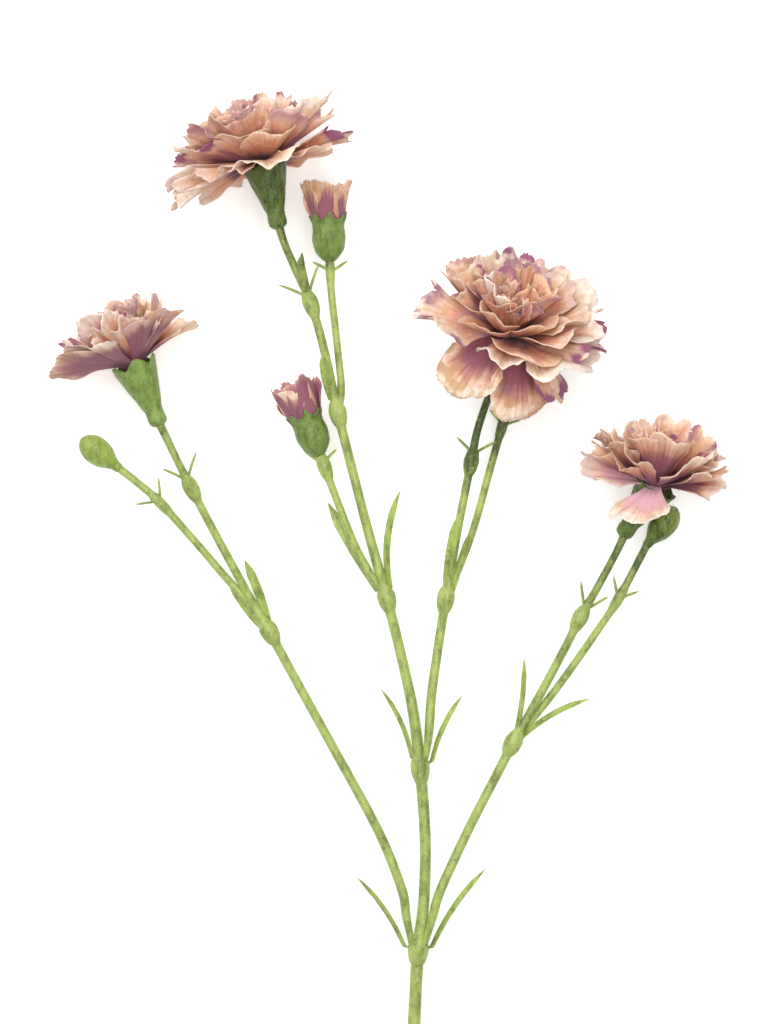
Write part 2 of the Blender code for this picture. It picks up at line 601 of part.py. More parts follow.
def plug_profile(flower):
    """The corolla's plug: it fits the cup with a gap, and swells over the rim inside the petals."""
    outside = flower["cup"]
    rim_radius, rim_height = outside[-1]
    inner = [(r - CUP_WALL - GAP, h) for r, h in outside if h > CUP_FLOOR + 0.5]
    top = rim_height + flower["plug_top"]
    neck = rim_radius - CUP_WALL - GAP - 0.5
    dome = [(0.0, top), (0.6 * neck, top - 1.6), (0.95 * neck, rim_height + 1.0)]
    foot = [(inner[0][0] - 0.6, CUP_FLOOR + GAP), (0.0, CUP_FLOOR + GAP)]
    return dome + inner[:-1][::-1] + foot


def make_closed_bud(name, bud, collection, material):
    """An egg-shaped bud on a short neck, with the stem's end in a socket in the neck."""
    axis, length, radius = bud
    egg = [
        (radius * math.sin(math.pi * t) ** 0.62 * (1.12 - 0.28 * t), length * (0.12 + 0.88 * t))
        for t in (0.98, 0.9, 0.78, 0.62, 0.45, 0.28, 0.14)
    ]
    socket = PIN + GAP
    neck = [(2.1, 0.9), (2.0, 0.0), (socket, 0.0), (socket, PIN_LENGTH + GAP), (0.0, PIN_LENGTH + GAP)]
    obj = make_turned(name, [(0.0, length), *egg, *neck], 10, seat_matrix(axis), collection)
    obj.data.materials.append(material)
    shade_smooth(obj)


# ---------------------------------------------------------------- petals


def petal_specs(flower):
    """Every petal of a flower: its own rows, then its rings with small seeded differences."""
    draw = random.Random(flower["seed"])
    specs = [dict(zip(PETAL_KEYS, row)) for row in flower["petals"]]
    for count, first, spread, *values in flower["rings"]:
        for n in range(count):
            spec = dict(zip(PETAL_KEYS, (first + spread * n + draw.uniform(-5, 5), *values)))
            spec["length"] *= draw.uniform(0.95, 1.03)
            spec["twist"] += draw.uniform(-10, 10)
            specs.append(spec)
    for spec in specs:
        spec["phase"] = draw.uniform(0, math.tau)
    return specs


def petal_point(spec, across, share):
    """A point of a petal in the flower's frame: across from -1 to 1, share from its root to its edge."""
    length = spec["length"]
    edge = 1 - 0.10 * across**2 - 0.16 * across**6
    run = length * share * edge
    swing = across * math.radians(spec["fan"]) * (0.35 + 0.65 * share)
    ahead, aside = run * math.cos(swing), run * math.sin(swing) + 1.3 * across * (1 - share)
    aside += math.tan(math.radians(spec["lean"])) * max(0.0, ahead - 0.3 * length)
    # The claw rises inside the calyx to its rim, and the limb opens from there.
    angles = [math.radians(a) for a in (CLAW_OPENING, CLAW_OPENING, spec["foot"], spec["tip"], spec["lip"])]
    claw = max(1.0, CLAW_TOP - spec["root"])
    cuts = [0.0, claw, claw + 0.14 * length, 0.8 * length, length]
    rise = out = 0.0
    here = angles[0]
    for i in range(4):
        if ahead <= cuts[i]:
            break
        span = cuts[i + 1] - cuts[i]
        gone = min(ahead - cuts[i], span)
        more_rise, more_out = arc(angles[i], angles[i + 1], span, gone)
        rise, out = rise + more_rise, out + more_out
        here = angles[i] + (angles[i + 1] - angles[i]) * gone / span
    wave = spec["ruffle"] * share**2 * math.sin(2.2 * math.pi * across + spec["phase"])
    cup = spec["cup"] * length * share * across**2
    twist = math.radians(spec["twist"]) * share
    lift = wave + cup + aside * math.sin(twist)
    aside *= math.cos(twist)
    radial = 1.2 + out - lift * math.cos(here)
    height = spec["root"] + rise + lift * math.sin(here)
    azimuth = math.radians(spec["azimuth"])
    toward = Vector((-math.sin(azimuth), math.cos(azimuth), 0.0))
    beside = Vector((-math.cos(azimuth), -math.sin(azimuth), 0.0))
    return toward * radial + beside * aside + Vector((0.0, 0.0, height))


def laid_on_table(place, forward, floor):
    """Bends what would reach under the table forward along it, with its length kept."""
    under = floor + BEND_RADIUS - place.z
    if under <= 0:
        return place
    turn = min(under / BEND_RADIUS, math.pi / 2)
    slide = BEND_RADIUS * (1 - math.cos(turn)) + max(0.0, under - BEND_RADIUS * math.pi / 2)
    level = floor + BEND_RADIUS * (1 - math.sin(turn))
    return Vector((place.x + forward.x * slide, place.y + forward.y * slide, level))


def make_petal(name, spec, matrix, forward, collection):
    """A toothed fan-shaped blade. Those that stand up have fewer faces than those that spread."""
    large = spec["foot"] > 70
    shares = TALL_ROWS if large else SHORT_ROWS
    columns = 3 if large else 2
    cuts = 1
    bm = bmesh.new()
    bmesh.ops.create_grid(bm, x_segments=columns, y_segments=len(shares) - 1, size=1.0)
    edge = [e for e in bm.edges if all(v.co.y > 0.99 for v in e.verts)]
    bmesh.ops.subdivide_edges(bm, edges=edge, cuts=cuts)
    bmesh.ops.triangulate(bm, faces=bm.faces)
    tooth_width = 2.0 / (columns * (cuts + 1))
    for vert in bm.verts:
        across, share = vert.co.x, shares[round((vert.co.y + 1) / 2 * (len(shares) - 1))]
        if share > 0.99:
            share -= 0.06 * (round((across + 1) / tooth_width) % 2)
        local = petal_point(spec, across, share)
        vert.co = laid_on_table(matrix @ (local * MM) / MM, forward, PETAL_THICK / 2 - FLAT_CUT) * MM
    mesh = bpy.data.meshes.new(name)
    bm.to_mesh(mesh)
    bm.free()
    sheet = add_object(name + "_sheet", mesh, collection)
    thicken(sheet, PETAL_THICK)
    solid = add_object(name, evaluated_mesh(sheet), collection)
    bpy.data.objects.remove(sheet)
    return solid


# ---------------------------------------------------------------- the pieces


def build_leafy_stem(name, axes, spray, scraps, material):
    """One green stem with its twigs and leaves, all in one body."""
    parts = [make_stem(f"{name}_{axis}", with_pin(axis), scraps) for axis in axes]
    for n, leaf in enumerate(LEAVES):
        if leaf[0] in axes:
            make_leaf(f"{name}_leaf_{n}", leaf, scraps)
    if name == "main_stem":
        ends = [(Vector(SLEEVE[k]), SLEEVE["radius"]) for k in ("foot", "top")]
        make_stem("sleeve", ends, scraps)
    stem = parts[0]
    scraps.objects.unlink(stem)
    spray.objects.link(stem)
    join_all(stem, scraps)
    stem.name = name
    stem.data.materials.clear()
    stem.data.materials.append(material)
    return stem


def bore_sockets(stem, axes, scraps):
    """Cuts the holes that the side stems' ends stand in."""
    for axis in axes:
        knots = [Vector(k[:3]) for k in AXES[axis]["knots"][:2]]
        heading = (knots[1] - knots[0]).normalized()
        ends = [(knots[0] - heading * GAP, PIN + GAP), (knots[1] + heading * 1.0, PIN + GAP)]
        make_stem(f"bore_{axis}", ends, scraps)
    join_all(stem, scraps, "DIFFERENCE")


def build_flower(name, flower, spray, scraps, petal_material, calyx_material):
    """The calyx on its stem's end, and the corolla in it."""
    seat = seat_matrix(flower["axis"])
    calyx = make_calyx(name + "_calyx", flower, seat, spray)
    calyx.data.materials.append(calyx_material)
    shade_smooth(calyx)
    corolla = make_turned(name + "_petals", plug_profile(flower), 8, seat, spray)
    heading = direction(*flower["heading"])
    forward = Vector((heading.x, heading.y)).normalized()
    matrix = corolla_matrix(flower)
    for n, spec in enumerate(petal_specs(flower)):
        make_petal(f"{name}_petal_{n}", spec, matrix, forward, scraps)
    join_all(corolla, scraps)
    if lowest(corolla) < 0:
        make_table(scraps)
        join_all(corolla, scraps, "DIFFERENCE")
    corolla.data.materials.clear()
    corolla.data.materials.append(petal_material)
    return corolla


def lowest(obj):
    return min(vert.co.z for vert in obj.data.vertices)


def make_table(collection):
    """The block under the table's top, as a cutter."""
    mesh = bpy.data.meshes.new("table")
    bm = bmesh.new()
    bmesh.ops.create_cube(bm, size=1.0, matrix=Matrix.Translation((0.0, 0.0, -0.5)))
    bm.to_mesh(mesh)
    bm.free()
    return add_object("table", mesh, collection)


def main():
    clear_scene()
    spray = make_collection("spray_carnation")
    scraps = make_collection("scraps", hidden=True)
    stem_green = make_material("stem_green", GREEN_STEM, 0.55)
    calyx_green = make_material("calyx_green", GREEN_CALYX, 0.6)
    bud_green = make_material("bud_green", GREEN_BUD, 0.5)
    petal_peach = make_material("petal_peach", PETAL_PEACH, 0.8)

    stems = {n: build_leafy_stem(n, axes, spray, scraps, stem_green) for n, axes in LEAFY_STEMS.items()}
    bore_sockets(stems["main_stem"], ("left", "right", "centre"), scraps)
    for stem in stems.values():
        shade_smooth(stem)
    for name, bud in CLOSED_BUDS.items():
        make_closed_bud(name, bud, spray, bud_green)
    for name, flower in FLOWERS.items():
        build_flower(name, flower, spray, scraps, petal_peach, calyx_green)


main()
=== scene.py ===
"""The looks of a cut spray carnation that lies on a table: pressed cloth petals on moulded green stems.

Every point below is in millimetres from the spray's lowest fork, with z as its height over the table. Angles
in the tables are in degrees. SPRAY_MIDDLE takes a point to the frame's origin, and MM to metres.
"""

import math
import random

import bmesh
import bpy
from mathutils import Matrix, Vector


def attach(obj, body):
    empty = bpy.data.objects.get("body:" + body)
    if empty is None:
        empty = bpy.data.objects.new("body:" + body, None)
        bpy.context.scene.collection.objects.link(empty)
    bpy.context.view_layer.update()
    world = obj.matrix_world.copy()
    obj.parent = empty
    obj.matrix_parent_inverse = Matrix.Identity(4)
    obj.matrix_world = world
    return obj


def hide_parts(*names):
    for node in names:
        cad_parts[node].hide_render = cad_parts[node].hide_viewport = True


bl_info = {
    "name": "Spray Carnation",
    "version": (1, 0, 0),
    "blender": (4, 5, 0),
    "location": "View3D > Sidebar > Carnation",
    "description": "Dresses a cut spray carnation with ruffled petals and moulded stems",
    "category": "Object",
}

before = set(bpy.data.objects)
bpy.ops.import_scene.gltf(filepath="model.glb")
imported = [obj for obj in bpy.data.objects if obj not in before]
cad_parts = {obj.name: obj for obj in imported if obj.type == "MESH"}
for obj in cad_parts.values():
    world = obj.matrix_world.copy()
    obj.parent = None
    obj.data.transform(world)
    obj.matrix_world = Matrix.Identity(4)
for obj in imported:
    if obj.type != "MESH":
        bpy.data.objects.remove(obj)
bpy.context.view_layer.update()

MM = 0.001
SPRAY_MIDDLE = Vector((-8.8, 70.4, 0.0))
PIN = 1.1  # radius of a side stem where it goes into its fork
BULGE_BELOW = 4.8  # a node's swelling reaches this far below its middle
BULGE_ABOVE = 3.6
SEAM_ABOVE = 1.6  # the moulded seam's place over a node's middle
SEAM_HALF = 0.5  # half the seam's width
SEAM_DEPTH = 0.22
STEM_SIDES = 20
RING_STEP = 0.9  # between the rings that a stem is made of
LEAF_FOOT = 0.12  # the share of a leaf that lies inside its node
SEAT_GAP = 0.3  # between a stem's end and the bottom of the hole it stands in
BEND_RADIUS = 2.5  # how sharply a petal bends where it meets the table
CLAW_OPENING = 12.0  # how far a petal's claw opens from the flower's axis
RIM_UNDER = 1.0  # a claw runs up to this far under the calyx's rim
PETAL_COLUMNS = 42
PETAL_ROWS = 18
RISE = {"interpolation_type": "SMOOTHSTEP"}  # a smooth rise from 0, up or down the range

# Each axis: its knots as (x, y, z, radius), and its nodes as {knot number: radius of the swelling there}.
AXES = {
    "main": {
        "knots": [
            (-5.2, -122.0, 2.4, 2.4), (-4.2, -104.0, 3.6, 2.3), (-3.2, -78.0, 5.0, 2.2),
            (-1.9, -45.0, 6.8, 2.2), (-0.6, -15.0, 8.4, 1.95), (0.2, -2.0, 9.2, 2.0),
            (1.9, 13.0, 10.0, 1.75), (2.3, 33.0, 11.0, 1.75), (0.7, 55.0, 12.2, 1.8),
            (-1.6, 73.0, 12.8, 1.7), (-5.6, 91.5, 13.4, 1.6), (-9.8, 108.0, 14.0, 1.6),
            (-15.5, 128.7, 15.0, 1.5), (-20.3, 147.2, 16.0, 1.45), (-24.8, 165.2, 17.2, 1.45),
            (-29.3, 185.5, 18.6, 1.35), (-33.2, 198.8, 19.6, 1.3), (-37.6, 208.6, 20.4, 1.25),
            (-41.2, 217.0, 21.0, 1.2), (-43.4, 224.4, 21.4, 1.4),
        ],
        "nodes": {2: 3.2, 5: 3.3, 8: 3.0, 11: 2.9, 14: 2.8, 16: 2.5},
    },
    "left": {
        "knots": [
            (-1.7, -0.6, 9.3, PIN), (-2.6, 3.4, 9.6, PIN), (-3.7, 9.0, 9.9, 1.4), (-5.1, 17.1, 10.2, 1.5),
            (-12.6, 35.6, 11.0, 1.5), (-27.7, 63.5, 12.2, 1.45), (-39.5, 85.0, 13.0, 1.45),
            (-46.3, 97.6, 13.4, 1.5), (-52.0, 107.6, 13.8, 1.35), (-63.5, 128.7, 14.4, 1.3),
            (-70.4, 142.0, 14.8, 1.3), (-75.4, 152.0, 15.2, 1.2), (-81.0, 163.8, 15.4, 1.4),
        ],
        "nodes": {7: 2.9, 10: 2.5},
    },
    "left_twig": {
        "knots": [
            (-46.3, 97.6, 13.4, 1.3), (-50.9, 104.3, 12.8, 1.25), (-60.3, 114.7, 13.0, 1.25),
            (-68.2, 124.0, 13.6, 1.2), (-80.0, 137.2, 14.6, 1.25), (-87.0, 143.4, 15.2, 1.2),
            (-92.6, 147.8, 15.6, 1.25),
        ],
        "nodes": {4: 1.7},
    },
    "right": {
        "knots": [
            (1.9, -0.6, 10.2, PIN), (3.3, 3.6, 11.4, PIN), (4.9, 9.4, 11.7, 1.4), (7.3, 17.1, 11.7, 1.5),
            (15.8, 35.6, 11.9, 1.5), (25.0, 53.5, 12.2, 1.5), (29.8, 62.9, 12.4, 1.5),
            (35.6, 73.2, 12.8, 1.4), (45.4, 91.5, 13.2, 1.35), (50.5, 101.7, 13.4, 1.35),
            (55.6, 110.6, 13.6, 1.25), (61.4, 121.4, 13.8, 1.2), (65.0, 129.2, 14.0, 1.4),
        ],
        "nodes": {6: 2.9, 9: 2.5},
    },
    "right_twig": {
        "knots": [
            (29.8, 62.9, 12.4, 1.3), (34.6, 68.6, 11.4, 1.25), (44.6, 81.2, 11.0, 1.25),
            (58.3, 100.8, 11.4, 1.2), (62.6, 107.6, 11.6, 1.25), (67.6, 117.0, 12.0, 1.2),
            (71.2, 124.0, 12.2, 1.25),
        ],
        "nodes": {4: 1.7},
    },
    "centre": {
        "knots": [
            (1.8, 56.4, 13.2, PIN), (2.8, 60.6, 14.6, PIN), (3.5, 67.0, 14.6, 1.4), (4.3, 78.0, 14.2, 1.5),
            (6.2, 91.5, 13.8, 1.45), (8.7, 107.6, 13.2, 1.5), (10.3, 116.0, 12.6, 1.35),
            (12.4, 128.7, 12.0, 1.3), (16.7, 150.3, 11.4, 1.3), (18.4, 159.0, 11.4, 1.25),
            (21.4, 168.4, 12.8, 1.2), (24.4, 175.0, 15.8, 1.4),
        ],
        "nodes": {5: 2.8, 8: 2.4},
    },
    "centre_twig": {
        "knots": [
            (8.7, 107.6, 13.2, 1.3), (11.8, 114.4, 11.8, 1.25), (17.3, 128.7, 10.2, 1.2),
            (22.5, 147.2, 8.6, 1.2), (26.6, 161.6, 7.2, 1.25), (30.6, 174.8, 6.4, 1.25),
        ],
        "nodes": {4: 1.7},
    },
    "high_twig": {
        "knots": [
            (-24.8, 165.2, 17.2, 1.3), (-23.7, 172.0, 17.0, 1.2), (-24.8, 184.4, 17.6, 1.15),
            (-26.7, 201.5, 18.6, 1.15), (-27.1, 209.2, 19.0, 1.15), (-27.3, 212.6, 19.0, 1.3),
        ],
        "nodes": {4: 1.5},
    },
    "low_twig": {
        "knots": [
            (-9.8, 108.0, 14.0, 1.3), (-13.4, 112.8, 14.8, 1.2), (-19.6, 124.0, 15.4, 1.2),
            (-26.4, 141.4, 16.2, 1.2), (-29.0, 148.6, 16.6, 1.25), (-30.6, 152.8, 16.8, 1.3),
        ],
        "nodes": {4: 2.2},
    },
}

# What stands on an axis's end, and the direction it points, as (lean towards +X, climb) in degrees.
HEADINGS = {
    "main": (-13, -1), "centre": (14, 35), "left": (-23, 2), "right": (33, 20), "high_twig": (-2, 2),
    "low_twig": (-21, 2), "left_twig": (-52, 4), "right_twig": (38, 2), "centre_twig": (17, -4),
}

# Painted shade where the stalks run in under the blooms and buds: where along an axis it starts and stops
# darkening the green, and by how much.
STALK_PAINTED_SHADES = {
    "centre": (0.64, 0.82, 0.85), "centre_twig": (0.58, 0.8, 0.8), "main": (0.9, 1.0, 0.5),
    "right": (0.7, 1.0, 0.6), "right_twig": (0.6, 1.0, 0.5), "left": (0.8, 1.0, 0.3),
    "high_twig": (0.9, 1.0, 0.3),
}

LEAFY_STEMS = {
    "main_stem": ("main", "high_twig", "low_twig"),
    "left_stem": ("left", "left_twig"),
    "right_stem": ("right", "right_twig"),
    "centre_stem": ("centre", "centre_twig"),
}

# Each leaf: its axis, where its blade leaves the node (x, y), its heading there and at its tip in degrees
# from +Y towards +X, its length and width, how far its face turns up from edge-on, and how steeply it
# climbs.
LEAVES = [
    ("main", (-5.4, -76.6), -24, -44, 33.0, 3.4, 60, 6), ("main", (-1.0, -76.6), 20, 42, 30.0, 3.4, 60, 4),
    ("main", (-4.2, -1.2), -22, -46, 26.5, 2.9, 45, 6), ("main", (4.4, -1.4), 24, 46, 29.5, 2.9, 45, -4),
    ("main", (-1.8, 57.6), -10, -38, 24.0, 2.8, 45, 6), ("main", (4.4, 56.8), 12, 38, 22.5, 2.8, 45, -4),
    ("main", (-12.0, 110.0), -33, -28, 31.5, 4.6, 75, -7),
    ("main", (-8.6, 110.6), -12, 24, 31.0, 3.4, 55, 3),
    ("main", (-26.6, 169.0), -20, -2, 14.5, 3.6, 70, 16),
    ("main", (-35.4, 201.0), -64, -72, 8.0, 1.7, 30, 8), ("main", (-33.4, 202.4), 14, 24, 8.4, 1.7, 30, 6),
    ("high_twig", (-27.8, 208.8), -60, -66, 5.2, 1.6, 30, 8),
    ("high_twig", (-26.2, 208.8), 58, 58, 5.2, 1.6, 30, 8),
    ("low_twig", (-30.2, 149.6), -60, -52, 6.0, 1.6, 30, 6),
    ("low_twig", (-28.4, 150.4), 40, 50, 4.6, 1.6, 30, 6),
    ("left", (-46.6, 100.6), -15, -26, 20.0, 4.0, 70, 8),
    ("left", (-49.0, 99.0), -42, -30, 17.0, 3.6, 60, -18),
    ("left", (-72.8, 144.6), -62, -68, 6.8, 1.7, 30, 6), ("left", (-71.0, 145.8), 14, 24, 7.4, 1.7, 30, 6),
    ("left_twig", (-81.4, 137.4), -100, -96, 6.0, 1.5, 30, 4),
    ("left_twig", (-80.0, 139.0), -2, -6, 5.8, 1.5, 30, 6),
    ("right", (30.4, 65.6), 14, -2, 23.5, 2.9, 45, 8), ("right", (32.4, 64.4), 46, 74, 24.0, 3.0, 45, 6),
    ("right", (51.4, 105.6), -8, -6, 7.2, 1.7, 30, 8), ("right", (53.4, 104.6), 58, 62, 6.4, 1.7, 30, -10),
    ("right_twig", (62.0, 108.4), -14, -8, 6.0, 1.5, 30, 6),
    ("right_twig", (63.6, 107.6), 66, 72, 5.4, 1.5, 30, 4),
    ("centre", (8.8, 110.6), 4, 14, 23.0, 4.2, 60, 14),
    ("centre", (10.6, 109.6), 16, 20, 20.0, 3.4, 60, -3),
    ("centre", (16.2, 153.4), -46, -44, 5.8, 1.7, 30, 6),
    ("centre", (18.4, 153.0), 60, 64, 6.6, 1.7, 30, 12),
    ("centre_twig", (25.8, 162.2), -40, -40, 5.2, 1.5, 30, 4),
    ("centre_twig", (27.6, 161.6), 70, 76, 5.0, 1.5, 30, 4),
]

# The empty sleeve on the highest node, at which a bud is missing.
SLEEVE = {"foot": (-34.2, 200.6, 19.8), "top": (-36.4, 212.0, 23.8), "radius": 1.25}

# Closed buds: the axis that carries each, its length, its radius, and how dark its green is from 0 to 1.
CLOSED_BUDS = {
    "bud_left": ("left_twig", 14.5, 4.3, 0.1),
    "bud_right": ("right_twig", 14.5, 4.2, 0.55),
    "bud_centre": ("centre_twig", 13.5, 4.1, 0.4),
}

# Calyx cups: (radius, height) pairs up the outside, from the collar round the stem's end. The lobes stand on
# the last one. The first cup is an open bloom's, and the second an opening bud's.
CUP_OPEN = [
    (1.2, -3.0), (2.1, -2.3), (2.4, -1.0), (2.15, 0.7), (2.4, 2.2), (3.2, 5.0), (4.2, 8.2), (5.2, 11.8),
    (6.3, 16.2),
]
CUP_BUD = [
    (1.1, -1.2), (1.9, -0.5), (3.1, 0.8), (4.1, 2.8), (4.6, 5.2), (4.5, 8.0), (4.5, 10.2), (5.0, 11.6),
]

# A petal row: azimuth from the flower's upper side towards its right, root over the calyx's rim, length,
# half fan angle, then how far it opens from the flower's axis at its foot, tip and lip, its lean to the
# side, twist, ruffle, cupping, wrap round the axis, depth of its teeth, tone from 0 for coral to 1 for
# ivory, how far mauve climbs from the foot, and how much purple sits on its edge. A tone under 0 counts as
# its opposite, with tan clouds all over the petal.
PETAL_KEYS = (
    "azimuth", "root", "length", "fan", "foot", "tip", "lip", "lean", "twist",
    "ruffle", "cup", "wrap", "teeth", "tone", "mauve", "blotch",
)
